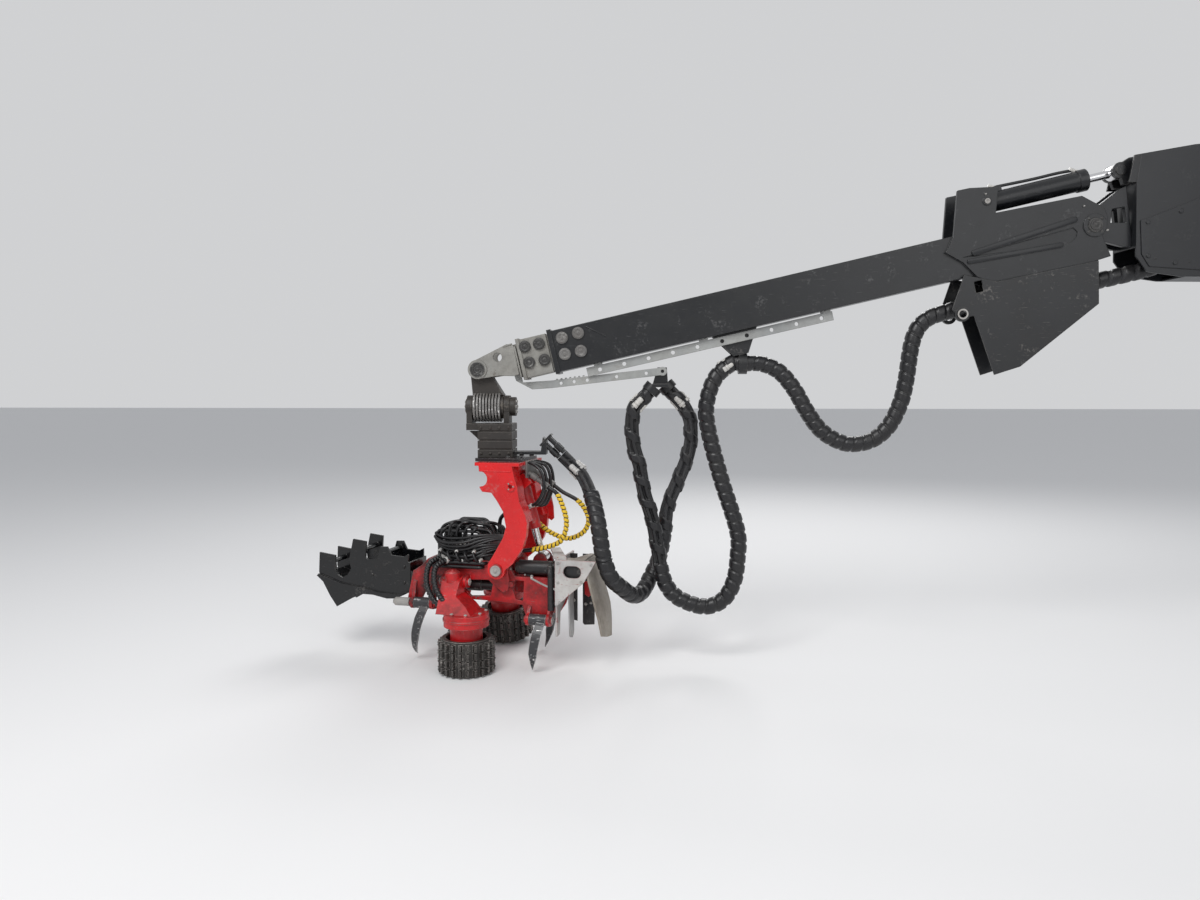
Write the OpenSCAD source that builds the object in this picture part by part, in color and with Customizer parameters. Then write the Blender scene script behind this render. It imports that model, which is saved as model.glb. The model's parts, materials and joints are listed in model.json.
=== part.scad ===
// Harvester crane: main boom, knuckled jib with a double telescope, brake
// link, rotator, tilt arch and a felling head with feed rollers, delimbing
// knives and a saw. The origin is the bore of the boom foot. The crane lies in
// the XZ plane and reaches out along -X, with +Z up.

/* [Main boom] */
// Distance along X from the foot pin to the knuckle pin
boom_len = 4355; // [3900:5:4800]
// Height of the foot pin above the knuckle pin
boom_drop = 326; // [250:1:400]
// Width of the boom box over its side plates
boom_w = 260; // [250:2:280]
// Thickness of the boom's plates
boom_t = 12; // [8:1:16]
// Radius of the foot bore
foot_r = 45; // [35:1:55]
// Width of the foot tube
foot_w = 340; // [300:5:400]
// Distance from the foot to the lift cylinder's lug
lug_x = 1500; // [1200:10:1900]
// Radius of the lift lug's bore
lug_r = 35; // [25:1:45]
// Width of the head tongue that carries the knuckle pin
tongue_w = 160; // [140:2:164]

/* [Jib] */
// Angle of the jib below the horizontal
jib_dip = 12.9; // [8:0.1:18]
// Height of the jib's outer beam
jib_h = 250; // [240:1:280]
// Width of the jib's outer beam
jib_w = 175; // [170:1:190]
// Thickness of the jib's plates
jib_t = 8; // [6:0.5:10]
// Length of the outer beam from the knuckle pin
beam_len = 3222; // [3100:1:3240]
// Thickness of each base plate at the knuckle
base_t = 20; // [16:1:26]
// Radius of the knuckle pin
knuckle_r = 40; // [30:1:46]
// Radius of the round slide pad covers
pad_r = 34; // [28:1:38]

/* [Telescope] */
// Gap between one beam and the next
slide_gap = 6; // [5:0.5:7]
// Thickness of the inner beams' plates
ext_t = 7; // [5:0.5:8]
// Length of the collar on the first inner beam
collar_len = 196; // [150:1:220]
// Distance from the collar to the tip pin
nose_len = 263; // [250:1:300]
// Length of the first inner beam behind its collar
ext1_len = 2600; // [2000:10:2800]
// Length of the second inner beam behind its nose
ext2_len = 2450; // [2000:10:2600]
// Radius of the tip pin
tip_r = 26; // [20:1:32]
// Radius of the nose boss
nose_r = 58; // [50:1:66]

/* [Jib cylinder] */
// Radius of the barrel
jc_r = 58; // [48:1:62]
// Radius of the rod
jc_rod = 24; // [20:1:30]
// Length of the barrel from its eye
jc_len = 610; // [560:5:640]
// Radius of both pins
jc_pin = 24; // [18:1:28]

/* [Link and rotator] */
// Drop from the tip pin to the cross axis of the link
link_drop = 225; // [205:1:240]
// Radius of the brake discs
disc_r = 95; // [85:1:100]
// Number of brake discs
disc_n = 9; // [5:1:11]
// Offset of the rotator's axis from the tip pin along X
rot_x = 105; // [95:1:115]
// Size of the rotator housing across X and Y
rot_w = 210; // [190:2:220]
// Height of the rotator housing
rot_h = 205; // [190:1:210]

/* [Tilt arch] */
// Width of the arch over its arms
arch_w = 440; // [420:2:480]
// Thickness of each arm
arch_t = 36; // [28:1:40]
// Depth of the arch arm's box section
arch_box = 112; // [100:1:120]
// Turn of the arch and head about the rotator's axis
head_turn = 11; // [0:1:20]
// Drop from the tip pin to the tilt axis
tilt_drop = 1200; // [1190:1:1215]
// Offset of the tilt axis from the tip pin along X
tilt_x = 170; // [160:1:180]
// Radius of the tilt pins
tilt_r = 30; // [24:1:34]
// Radius of the tilt cylinder's barrel
tc_r = 42; // [34:1:46]
// Radius of the tilt cylinder's rod
tc_rod = 22; // [16:1:26]
// Length of the tilt cylinder's barrel from its eye
tc_len = 290; // [270:1:300]

/* [Felling head] */
// Width of the head's frame over its side plates
frame_w = 300; // [280:2:310]
// Thickness of the head's side plates
frame_t = 20; // [14:1:24]
// Radius over the roller's spikes
roller_r = 168; // [155:1:176]
// Height of a roller
roller_h = 209; // [180:1:215]
// Number of spike rows round a roller
spike_n = 22; // [16:1:28]
// Distance of a roller's axis from the middle plane
roller_y = 310; // [300:1:325]
// Angle that the far arm stands open
far_open = 12; // [0:1:20]
// Radius of the roller motor's housing
motor_r = 134; // [120:1:138]
// Radius of a roller's shaft
shaft_r = 38; // [30:1:46]
// Width of a delimbing knife
knife_w = 104; // [90:1:108]
// Thickness of a delimbing knife at its root
knife_t = 26; // [20:1:30]
// Width of the blade below its hub
blade_w = 60; // [50:1:64]
// Lean of the front blades
front_lean = 16; // [0:1:18]
// Lean of the rear blades
rear_lean = 9; // [0:1:18]
// Distance of the arm and knife pins from the middle plane
pin_y = 190; // [188:1:194]
// Radius of the arm and knife pins
pin_r = 20; // [15:1:24]
// Length of the saw bar from its pivot
saw_len = 385; // [340:5:400]
// Width of the saw bar
saw_w = 84; // [70:1:90]

/* [Hidden] */
$fn = 48;
// Running clearance of a pin in its bore
run = 0.05;
// Clearance between moving faces beside a pin
side = 2;

kx = -boom_len;
kz = -boom_drop;
jib_len = beam_len + collar_len + nose_len;
cd = cos(jib_dip);
sd = sin(jib_dip);
tip_x = kx - jib_len * cd;
tip_z = kz - jib_len * sd;
collar_x = -beam_len - collar_len;
// Place in the world of a point of the jib
function at_jib(p) = [kx + p[0] * cd - p[1] * sd, kz + p[0] * sd + p[1] * cd];

function unit(v) = v / norm(v);
// Polygon moved inward by t, for points that run anticlockwise
function inset(p, t) = [
  for (i = [0 : len(p) - 1])
    let (
      n = len(p),
      a = unit(p[i] - p[(i + n - 1) % n]),
      b = unit(p[(i + 1) % n] - p[i]),
      na = [-a[1], a[0]],
      nb = [-b[1], b[0]]
    )
    p[i] + t * (na + nb) / (1 + na * nb)
];
// Outline in X and Z, thickened along Y from y0
module plate(p, y0, t) {
  translate([0, y0 + t, 0]) rotate([90, 0, 0]) linear_extrude(t) polygon(p);
}
// Outline in Y and Z, thickened along X from x0
module wall(p, x0, t) {
  translate([x0, 0, 0]) rotate([90, 0, 90]) linear_extrude(t) polygon(p);
}
module rod_y(p, r, y0, len) {
  translate([p[0], y0 + len, p[1]]) rotate([90, 0, 0]) cylinder(r = r, h = len);
}
module rod_x(x0, y, z, r, len) {
  translate([x0, y, z]) rotate([0, 90, 0]) cylinder(r = r, h = len);
}
module both() {
  children();
  mirror([0, 1, 0]) children();
}
module on_jib() {
  translate([kx, 0, kz]) rotate([0, -jib_dip, 0]) children();
}
module at_knuckle() {
  translate([kx, 0, kz]) children();
}
module at_tip() {
  translate([tip_x, 0, tip_z]) children();
}
// Pads inside the mouth of a beam that guide the next one
module slide_pads(x, len, w, h) {
  t = slide_gap - 0.3;
  both() translate([x, w / 2 - t, -h / 4]) cube([len, t, h / 2]);
  for (z = [-h / 2, h / 2 - t]) translate([x, -w / 4, z]) cube([len, w / 2, t]);
}
// Frame of the arch and the head, turned about the rotator's axis
module at_head() {
  at_tip() translate([rot_x, 0, 0]) rotate([0, 0, -head_turn]) translate([-rot_x, 0, 0]) children();
}
module box_beam(p, w, t) {
  difference() {
    plate(p, -w / 2, w);
    plate(inset(p, t), -w / 2 + t, w - 2 * t);
  }
}

// Main boom
boom_out = [
  [kx + 212, kz + 236], [kx + 225, kz - 180], [kx + 290, kz - 268], [kx + 480, kz - 297],
  [kx + 760, kz - 300], [kx + 1150, kz - 190], [-300, -140], [-60, -100],
  [-60, 100], [-300, 128], [kx + 855, kz + 470], [kx + 523, kz + 442], [kx + 232, kz + 394]
];
foot_ro = foot_r + 60;
lug_z = -330;
module main_boom() {
  color("#1d1e20") {
    difference() {
      box_beam(boom_out, boom_w, boom_t);
      rod_y([0, 0], foot_ro + 6, -boom_w, 2 * boom_w);
      translate([kx + 150, -boom_w / 2 + boom_t, kz - 330]) cube([360, boom_w - 2 * boom_t, 200]);
    }
    difference() {
      rod_y([0, 0], foot_ro, -foot_w / 2, foot_w);
      rod_y([0, 0], foot_r, -foot_w / 2 - 1, foot_w + 2);
    }
    difference() {
      plate([[-112, -92], [-60, -92], [-60, 92], [-112, 92]], -boom_w / 2, boom_w);
      rod_y([0, 0], foot_ro - 1, -boom_w, 2 * boom_w);
    }
    both() difference() {
      union() {
        plate([[-lug_x - 230, -240], [-lug_x - 70, lug_z], [-lug_x + 70, lug_z],
          [-lug_x + 210, -190]], 62, 30);
        rod_y([-lug_x, lug_z - 10], lug_r + 45, 62, 30);
      }
      rod_y([-lug_x, lug_z - 10], lug_r, 60, 34);
      plate(inset(boom_out, boom_t), 60, 34);
    }
  }
}

tongue_out = [
  [0, 0], [20, -76], [180, -120], [228, -120], [181, 225], [150, 212], [-20, 76]
];
tongue_win = [[100, 18], [190, 18], [176, 108], [106, 96]];
module boom_tongue() {
  color("#232426") at_knuckle() {
    both() difference() {
      union() {
        plate(tongue_out, tongue_w / 2 - 32, 32);
        rod_y([0, 0], knuckle_r + 38, tongue_w / 2 - 32, 32);
      }
      rod_y([0, 0], knuckle_r + run, 0, tongue_w);
      plate(tongue_win, 0, tongue_w);
      plate(move(boom_out, [-kx, -kz]), 0, tongue_w);
    }
    difference() {
      rod_y([0, 0], knuckle_r + 30, -tongue_w / 2 + 30, tongue_w - 60);
      rod_y([0, 0], knuckle_r + run, -tongue_w, 2 * tongue_w);
    }
  }
}
function move(p, d) = [for (q = p) q + d];

cover_out = [[240, 20], [254, -170], [300, -240], [700, -270], [700, 200], [300, 40]];
module boom_cover() {
  color("#2c2d2f") at_knuckle() both() {
    plate(cover_out, boom_w / 2, 6);
    for (p = [[280, 10], [290, -180], [440, -220], [660, -240], [660, 150], [460, 70]])
      rod_y(p, 12, boom_w / 2 + 6, 6);
  }
}

rod_pin = [152, 318];
module rod_clevis() {
  color("#1b1c1e") at_knuckle() both() {
    difference() {
      union() {
        plate([[152, 278], [169, 236], [212, 236], [232, 394], [195, 388], [152, 360]], 42, 26);
        rod_y(rod_pin, jc_pin + 22, 42, 26);
      }
      rod_y(rod_pin, jc_pin, 40, 30);
      plate(move(boom_out, [-kx, -kz]), 0, 100);
    }
    rod_y(rod_pin, jc_pin, 42, 26);
    rod_y(rod_pin, jc_pin + 4, 68, 8);
    plate([[169, 236], [212, 236], [232, 394], [195, 388]], boom_w / 2 - boom_t, boom_t);
  }
}

// Jib, in the frame of its own beam
beam_out = [
  [-beam_len, -jib_h / 2], [-120, -jib_h / 2], [-120, 0], [-290, jib_h / 2],
  [-beam_len, jib_h / 2]
];
module jib_beam() {
  color("#202123") on_jib() {
    difference() {
      plate(beam_out, -jib_w / 2, jib_w);
      translate([-beam_len - 1, -jib_w / 2 + jib_t, -jib_h / 2 + jib_t])
        cube([beam_len - 300, jib_w - 2 * jib_t, jib_h - 2 * jib_t]);
    }
    difference() {
      translate([-beam_len, -jib_w / 2 - 10, -jib_h / 2 - 10]) cube([26, jib_w + 20, jib_h + 20]);
      translate([-beam_len - 1, -jib_w / 2, -jib_h / 2]) cube([28, jib_w, jib_h]);
    }
    slide_pads(-beam_len + 30, 180, jib_w - 2 * jib_t, jib_h - 2 * jib_t);
    both() for (p = [[83, 69], [184, 75], [79, -29], [177, -33]])
      rod_y(p - [beam_len, 0], pad_r, jib_w / 2, 9);
  }
}

base_out = [
  [-850, 43], [-829, 60], [-808, 90], [-785, 125], [-714, 373], [-644, 371],
  [-485, 341], [-527, 199], [-39, 180], [71, 84], [79, 20], [31, -73], [55, -193],
  [-60, -203], [-322, -204], [-620, -188], [-700, -jib_h / 2 - 12], [-760, -40]
];
wedge = [[-765, -10], [-150, -66], [-112, -44], [-100, -14], [-120, 14]];
barrel_pin = [-564, 274];
module jib_base() {
  color("#18191b") on_jib() {
    both() difference() {
      plate(base_out, jib_w / 2, base_t);
      rod_y([0, 0], knuckle_r + run, 0, 200);
      rod_y(barrel_pin, jc_pin + run, 0, 200);
      plate(wedge, jib_w / 2 + base_t - 8, 10);
    }
    both() difference() {
      rod_y([0, 0], knuckle_r + 26, jib_w / 2 + base_t, 8);
      rod_y([0, 0], knuckle_r + run, 0, 200);
    }
    rod_y(barrel_pin, jc_pin, -jib_w / 2 - base_t - 6, jib_w + 2 * base_t + 12);
    translate([-720, -jib_w / 2, jib_h / 2]) cube([60, jib_w, 40]);
    translate([-600, -jib_w / 2, -200]) cube([260, jib_w, 14]);
  }
}
module knuckle_pin() {
  color("#6d6a66") on_jib() {
    rod_y([0, 0], knuckle_r, -jib_w / 2 - base_t - 8, jib_w + 2 * base_t + 16);
    both() rod_y([0, 0], knuckle_r - 2, jib_w / 2 + base_t + 8, 8);
  }
}

guard_y = jib_w / 2 + base_t;
module hose_guard() {
  color("#141517") on_jib() both() {
    difference() {
      union() {
        plate([[-880, -290], [-845, -352], [-764, -352], [-719, -714], [-566, -700],
          [-684, -290], [-603, -188], [-774, -110]], guard_y, 8);
        rod_y([-831, -328], 43, guard_y, 20);
      }
      rod_y([-831, -328], 22, guard_y - 1, 30);
      translate([-728, guard_y - 1, -226]) cube([46, 10, 66]);
    }
    plate([[-684, -188], [-20, -203], [-64, -444], [-566, -700], [-684, -290]], guard_y, 8);
  }
}

module upper_rail() {
  color("#8b8f8c") on_jib() {
    difference() {
      translate([-beam_len + 183, -58, -192]) cube([1497, 14, 54]);
      for (i = [0 : 9]) rod_y([-beam_len + 262 + 150 * i, -165], 12, -60, 20);
    }
    for (x = [232, 882, 1622]) translate([x - beam_len, -58, -jib_h / 2 - 14]) cube([50, 60, 14]);
  }
}

hose_r = 48;
clamp_at = at_jib([-beam_len + 1106.7, -321.9]);
module jib_clamp() {
  color("#131416") {
    on_jib() both() translate([-beam_len + 1107, 0, 0])
      plate([[-144, -jib_h / 2], [-45, -268], [45, -268], [127, -jib_h / 2]], 30, 8);
    difference() {
      rod_x(clamp_at[0] - 25, 0, clamp_at[1], hose_r + 16, 50);
      rod_x(clamp_at[0] - 26, 0, clamp_at[1], hose_r + 3, 52);
    }
  }
}

// Jib cylinder, drawn along +X from its eye and turned to its place
pb_w = at_jib(barrel_pin);
pr_w = [kx, kz] + rod_pin;
jc_span = norm(pr_w - pb_w);
jc_ang = atan2(pr_w[1] - pb_w[1], pr_w[0] - pb_w[0]);
module on_jib_cyl() {
  translate([pb_w[0], 0, pb_w[1]]) rotate([0, -jc_ang, 0]) children();
}
module jib_barrel() {
  color("#17181a") on_jib_cyl() difference() {
    union() {
      rod_y([0, 0], jc_pin + 26, -34, 68);
      rod_x(40, 0, 0, jc_r, jc_len - 40);
      rod_x(jc_len - 50, 0, 0, jc_r + 6, 50);
      translate([70, -22, jc_r - 8]) cube([60, 44, 34]);
    }
    rod_y([0, 0], jc_pin + run, -40, 80);
    rod_x(90, 0, 0, jc_rod + 16, jc_len);
  }
}
module jib_rod() {
  color("#b9bcbd") on_jib_cyl() {
    rod_x(125, 0, 0, jc_rod + 15, 30);
    rod_x(155, 0, 0, jc_rod, jc_span - 155 - jc_pin - 14);
    rod_y([jc_span, 0], jc_pin + 20, -38, 76);
  }
}

// Telescope
e1_w = jib_w - 2 * jib_t - 2 * slide_gap;
e1_h = jib_h - 2 * jib_t - 2 * slide_gap;
e2_w = e1_w - 2 * ext_t - 2 * slide_gap;
e2_h = e1_h - 2 * ext_t - 2 * slide_gap;
module extension_1() {
  color("#77766f") on_jib() {
    difference() {
      union() {
        translate([collar_x + 20, -e1_w / 2, -e1_h / 2]) cube([ext1_len, e1_w, e1_h]);
        translate([collar_x, -jib_w / 2, -jib_h / 2 + 8])
          cube([collar_len - 10, jib_w, jib_h - 16]);
        translate([collar_x, -jib_w / 2 - 8, -jib_h / 2])
          cube([22, jib_w + 16, jib_h]);
      }
      translate([collar_x - 1, -e1_w / 2 + ext_t, -e1_h / 2 + ext_t])
        cube([ext1_len + 40, e1_w - 2 * ext_t, e1_h - 2 * ext_t]);
    }
    slide_pads(collar_x + 20, 150, e1_w - 2 * ext_t, e1_h - 2 * ext_t);
    both() for (p = [[50, 68], [137, 66], [54, -30], [148, -35]])
      rod_y(p + [collar_x, 0], pad_r, jib_w / 2, 8);
  }
}

nose_out = [
  [-jib_len, -nose_r], [-jib_len + 121, -66], [collar_x - 52, -88], [collar_x - 22, -84],
  [collar_x - 18, 96], [collar_x - 57, 108], [-jib_len + 141, 92], [-jib_len, nose_r]
];
module extension_2() {
  color("#9a9a92") on_jib() {
    difference() {
      translate([collar_x - 18, -e2_w / 2, -e2_h / 2]) cube([ext2_len, e2_w, e2_h]);
      translate([collar_x + 4, -e2_w / 2 + ext_t, -e2_h / 2 + ext_t])
        cube([ext2_len, e2_w - 2 * ext_t, e2_h - 2 * ext_t]);
    }
    difference() {
      union() {
        both() {
          plate(nose_out, jib_w / 2 - 24, 24);
          rod_y([-jib_len, 0], nose_r, jib_w / 2 - 24, 30);
        }
        translate([collar_x - 18, -jib_w / 2, -104]) cube([10, jib_w, 188]);
      }
      rod_y([-jib_len, 0], tip_r + run, -200, 400);
      rod_y([-jib_len + 135, 44], 27, -200, 400);
      translate([-jib_len - 70, -jib_w / 2 + 24, -120]) cube([210, jib_w - 48, 240]);
    }
  }
}
module tip_pin() {
  color("#55534f") on_jib() {
    rod_y([-jib_len, 0], tip_r, -jib_w / 2 - 8, jib_w + 16);
    both() difference() {
      rod_y([-jib_len, 0], nose_r - 14, jib_w / 2 + 6, 8);
      rod_y([-jib_len, 0], tip_r, 0, 200);
    }
  }
}

rail_a = [-beam_len - 48, -186];
rail_b = [-beam_len + 627, -260];
rail_y = -40;
rail_u = unit(rail_b - rail_a);
rail_n = [-rail_u[1], rail_u[0]];
module lower_rail() {
  color("#84857f") on_jib() {
    difference() {
      union() {
        plate([rail_a - 23 * rail_n, rail_b - 23 * rail_n, rail_b + 23 * rail_n,
          rail_a + 23 * rail_n], rail_y, 12);
        plate([[collar_x - 18, -60], [collar_x - 62, -60], [collar_x - 56, -118], [collar_x + 28, -190],
          rail_a - 23 * rail_n, rail_a + 23 * rail_n, [collar_x - 18, -136]], rail_y, 12);
        rod_y(rail_b, 27, rail_y, 12);
      }
      for (d = [60, 140, 220, 400, 580, norm(rail_b - rail_a)]) rod_y(rail_a + d * rail_u, 10, rail_y - 1, 20);
    }
  }
}
// Hose bracket at the rail's rear end, with a collar for each bundle
rail_end = at_jib(rail_b);
loop_end = [rail_end[0] - 78.3, -60, rail_end[1] - 125];
loop_dir = unit([-93, 0, -110]);
head_end = [rail_end[0] + 46.3, 60, rail_end[1] - 113];
head_dir = unit([90, 0, -103]);
module collar(p, d, r, h) {
  translate(p - h * d) rotate([0, atan2(d[0], d[2]), 0]) difference() {
    cylinder(r = r, h = h);
    translate([0, 0, h - 10]) cylinder(r = r - 10, h = 12);
  }
}
module hose_bracket() {
  color("#101113") {
    plate([rail_end + [-30, 24], rail_end + [26, 24], rail_end + [34, -80],
      rail_end + [-60, -80]], rail_y + 12, 10);
    translate([rail_end[0] - 62, -118, rail_end[1] - 96]) cube([96, 236, 20]);
    collar(loop_end, loop_dir, 54, 46);
    collar(head_end, head_dir, 54, 46);
  }
}

// Link, rotator and arch, in the frame of the tip pin
link_w = jib_w - 48 - 2 * side;
module tip_link() {
  color("#2a2723") at_tip() {
    difference() {
      union() {
        rod_y([0, 0], nose_r, -link_w / 2, link_w);
        plate([[-50, -20], [-38, -link_drop + 70], [150, -link_drop + 70], [90, -60], [54, 0]],
          -link_w / 2 + 14, link_w - 28);
        rod_x(-40, 0, -link_drop, 74, 190);
      }
      rod_y([0, 0], tip_r + run, -100, 200);
      rod_x(-60, 0, -link_drop, 34, 240);
    }
  }
}
disc_pitch = 170 / disc_n;
module brake_discs() {
  color("#8d8f90") at_tip() for (i = [0 : disc_n - 1]) difference() {
    rod_x(-30 + i * disc_pitch, 0, -link_drop, disc_r, disc_pitch * 0.55);
    rod_x(-31 + i * disc_pitch, 0, -link_drop, 74, disc_pitch);
    plate([[-50, -link_drop + 60], [170, -link_drop + 60], [170, 0], [-50, 0]],
      -link_w / 2 + 12, link_w - 24);
  }
}
rot_top = -link_drop - disc_r - 8;
rot_bot = rot_top - rot_h;
ear_t = 34;
spindle_r = 60;
module rotator() {
  color("#2e2925") at_tip() {
    difference() {
      union() {
        translate([rot_x - rot_w / 2, -rot_w / 2, rot_bot]) cube([rot_w, rot_w, rot_h]);
        translate([-42 - ear_t, -70, rot_top - 40]) cube([194 + 2 * ear_t, 140, 40]);
        plate([[-42 - ear_t, rot_top - 40], [rot_x - rot_w / 2, rot_top - 110],
          [rot_x, rot_top - 40]], -14, 28);
        for (x = [-42 - ear_t, 152]) {
          translate([x, -60, rot_top - 20]) cube([ear_t, 120, 20 - rot_top - link_drop]);
          rod_x(x, 0, -link_drop, 68, ear_t);
        }
      }
      for (z = [40, 95, 150]) difference() {
        translate([rot_x - rot_w, -rot_w, rot_top - z - 8]) cube([2 * rot_w, 2 * rot_w, 8]);
        translate([rot_x - rot_w / 2 + 8, -rot_w / 2 + 8, rot_top - z - 9])
          cube([rot_w - 16, rot_w - 16, 10]);
      }
      translate([rot_x, 0, rot_bot - 1]) cylinder(r = spindle_r + run, h = 62);
    }
    rod_x(-42, 0, -link_drop, 34 - run, 194);
    rod_x(152 + ear_t, 0, -link_drop, 58, 36);
    rod_x(-42 - ear_t - 10, 0, -link_drop, 46, 10);
  }
}
// Fittings that point down the bundle, on a foot beside the housing
bundle_end = [503, -522];
fit_dir = [-0.7186, 0.6954];
fit_plate = bundle_end + 130 * fit_dir;
module hose_bulkhead() {
  color("#111214") at_tip() {
    translate([rot_x + rot_w / 2, -45, rot_bot + 15]) cube([200, 90, 20]);
    plate([[fit_plate[0] - 34, rot_bot + 26], [fit_plate[0] + 2, rot_bot + 26], fit_plate + [2, 0],
      fit_plate + [-20, 20]], -45, 90);
    translate([fit_plate[0], 0, fit_plate[1]]) rotate([0, 134, 0]) {
      translate([-48, -50, -10]) cube([96, 100, 12]);
      for (x = [-22, 22]) for (y = [-28, 28]) translate([x, y, 0]) {
        cylinder(r = 13, h = 128);
        translate([0, 0, 60]) cylinder(r = 18, h = 50);
      }
    }
  }
}

arch_top = rot_bot - 0.3;
arm_l = [
  [62, arch_top - 24], [67, -600], [70, -704], [86, -728], [144, -733], [178, -779],
  [217, -843], [235, -935], [215, -1001], [165, -1087], [118, -1165], [tilt_x - 52, -tilt_drop]
];
arm_r = [
  [tilt_x + 50, -tilt_drop], [273, -1157], [337, -1061], [361, -986], [367, -911],
  [353, -856], [319, -784], [305, -692], [286, -637], [272, arch_top - 24]
];
tilt_pin = [265, -692];
frame_pin = [394, -1149];
module arch() {
  color("#191817") at_tip() translate([rot_x, 0, arch_top - 20]) cylinder(r = spindle_r, h = 78);
  color("#d3222a") at_head() {
    both() difference() {
      union() {
        plate(concat(arm_l, arm_r), arch_w / 2 - arch_t, arch_t);
        plate([[110, arch_top - 24], [130, -735], [178, -779], [217, -843], [238, -905],
          [366, -905], [353, -856], [319, -784], [305, -692], [286, -637], [272, arch_top - 24]],
          arch_w / 2 - arch_box, arch_box - arch_t);
        rod_y([tilt_x, -tilt_drop], 54, arch_w / 2 - arch_t, arch_t);
        rod_y(tilt_pin, 30, arch_w / 2, 8);
      }
      rod_y([72, -652], 46, 0, 400);
      rod_y([tilt_x, -tilt_drop], tilt_r + run, 0, 400);
      rod_y(tilt_pin, 13, arch_w / 2 - 20, 40);
    }
    translate([40, -arch_w / 2, arch_top - 40]) cube([278, arch_w, 20]);
    plate([[110, arch_top - 40], [130, -640], [270, -640], [290, arch_top - 40]],
      -arch_w / 2 + arch_box, arch_w - 2 * arch_box);
    both() {
      plate([[224, -640], [229, tilt_pin[1]], [265, -730], [300, -722], [344, -684], [292, -625],
        [270, -640]], 44, 22);
      rod_y(tilt_pin, 38, 44, 22);
    }
    rod_y(tilt_pin, 20, -44, 88);
    mirror([0, 1, 0]) plate([[300, -750], [380, -778], [398, -860], [402, -936], [386, -952],
      [302, -900]], -arch_w / 2 + 2, 10);
  }
  color("#191817") at_head() {
    translate([16, -150, arch_top - 20]) cube([292, 300, 20]);
    for (y = [-128, 128]) for (x = [216, 282]) translate([x, y, arch_top]) cylinder(r = 15, h = 9);
  }
}

// Hose ends with their ferrules at the back of the arch
module arch_hoses() {
  color("#b4b5b4") at_head() {
    translate([318, -100, -652]) cube([10, 200, arch_top - 20 + 652]);
    for (y = [-60, 60]) translate([328, y, -625]) rotate([0, 125, 0]) {
      translate([0, 0, -4]) cylinder(r = 14, h = 150);
      translate([0, 0, 20]) cylinder(r = 20, h = 40);
      translate([0, 0, 106]) cylinder(r = 20, h = 40);
    }
  }
}

tc_span = norm(frame_pin - tilt_pin);
tc_ang = atan2(frame_pin[1] - tilt_pin[1], frame_pin[0] - tilt_pin[0]);
module on_tilt_cyl() {
  at_head() translate([tilt_pin[0], 0, tilt_pin[1]]) rotate([0, -tc_ang, 0]) children();
}
module tilt_barrel() {
  color("#c81f27") on_tilt_cyl() difference() {
    union() {
      rod_y([0, 0], 38, 3 - tc_r, 2 * tc_r - 6);
      rod_x(26, 0, 0, tc_r, tc_len - 26);
    }
    rod_y([0, 0], 20 + run, -60, 120);
    rod_x(60, 0, 0, tc_rod + 8, tc_len);
  }
}
module tilt_rod() {
  color("#b9bcbd") on_tilt_cyl() {
    rod_x(130, 0, 0, tc_rod + 7, 24);
    rod_x(154, 0, 0, tc_rod, tc_span - 154 - 20);
    rod_y([tc_span, 0], 36, -38, 76);
  }
}

// Felling head
frame_top = -1160;
frame_low = -1245;
frame_out = [
  [-402, -1242], [-442, -1420], [-446, -1442], [-352, -1442], [-344, -1407], [-322, -1365],
  [-288, -1328], [-250, -1316], [-205, -1330], [-160, -1378], [-63, -1400], [126, -1402],
  [310, -1416], [345, -1520], [462, -1520], [500, -1465], [525, -1395], [540, -1300],
  [540, frame_low], [262, frame_low], [215, frame_top], [-300, frame_top], [-345, -1205]
];
arm_x = -165;
arm_hub = 118;
arm_z = -1285;
fk_x = -372;
fk_z = -1430;
rk_x = 372;
rk_z = -1490;
module pin_lug(x, z, t, up) {
  difference() {
    union() {
      wall([[-frame_w / 2, z - 42], [-frame_w / 2, z + 42 + up], [-frame_w / 2 - 12, z + 42 + up],
        [-pin_y, z + 36], [-pin_y, z - 36]], x, t);
      rod_x(x, -pin_y, z, 36, t);
    }
    wall([[-frame_w / 2 + 1, z - 60], [0, z - 60], [0, z + 60], [-frame_w / 2 + 1, z + 60]],
      x - 1, t + 2);
  }
}
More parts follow.
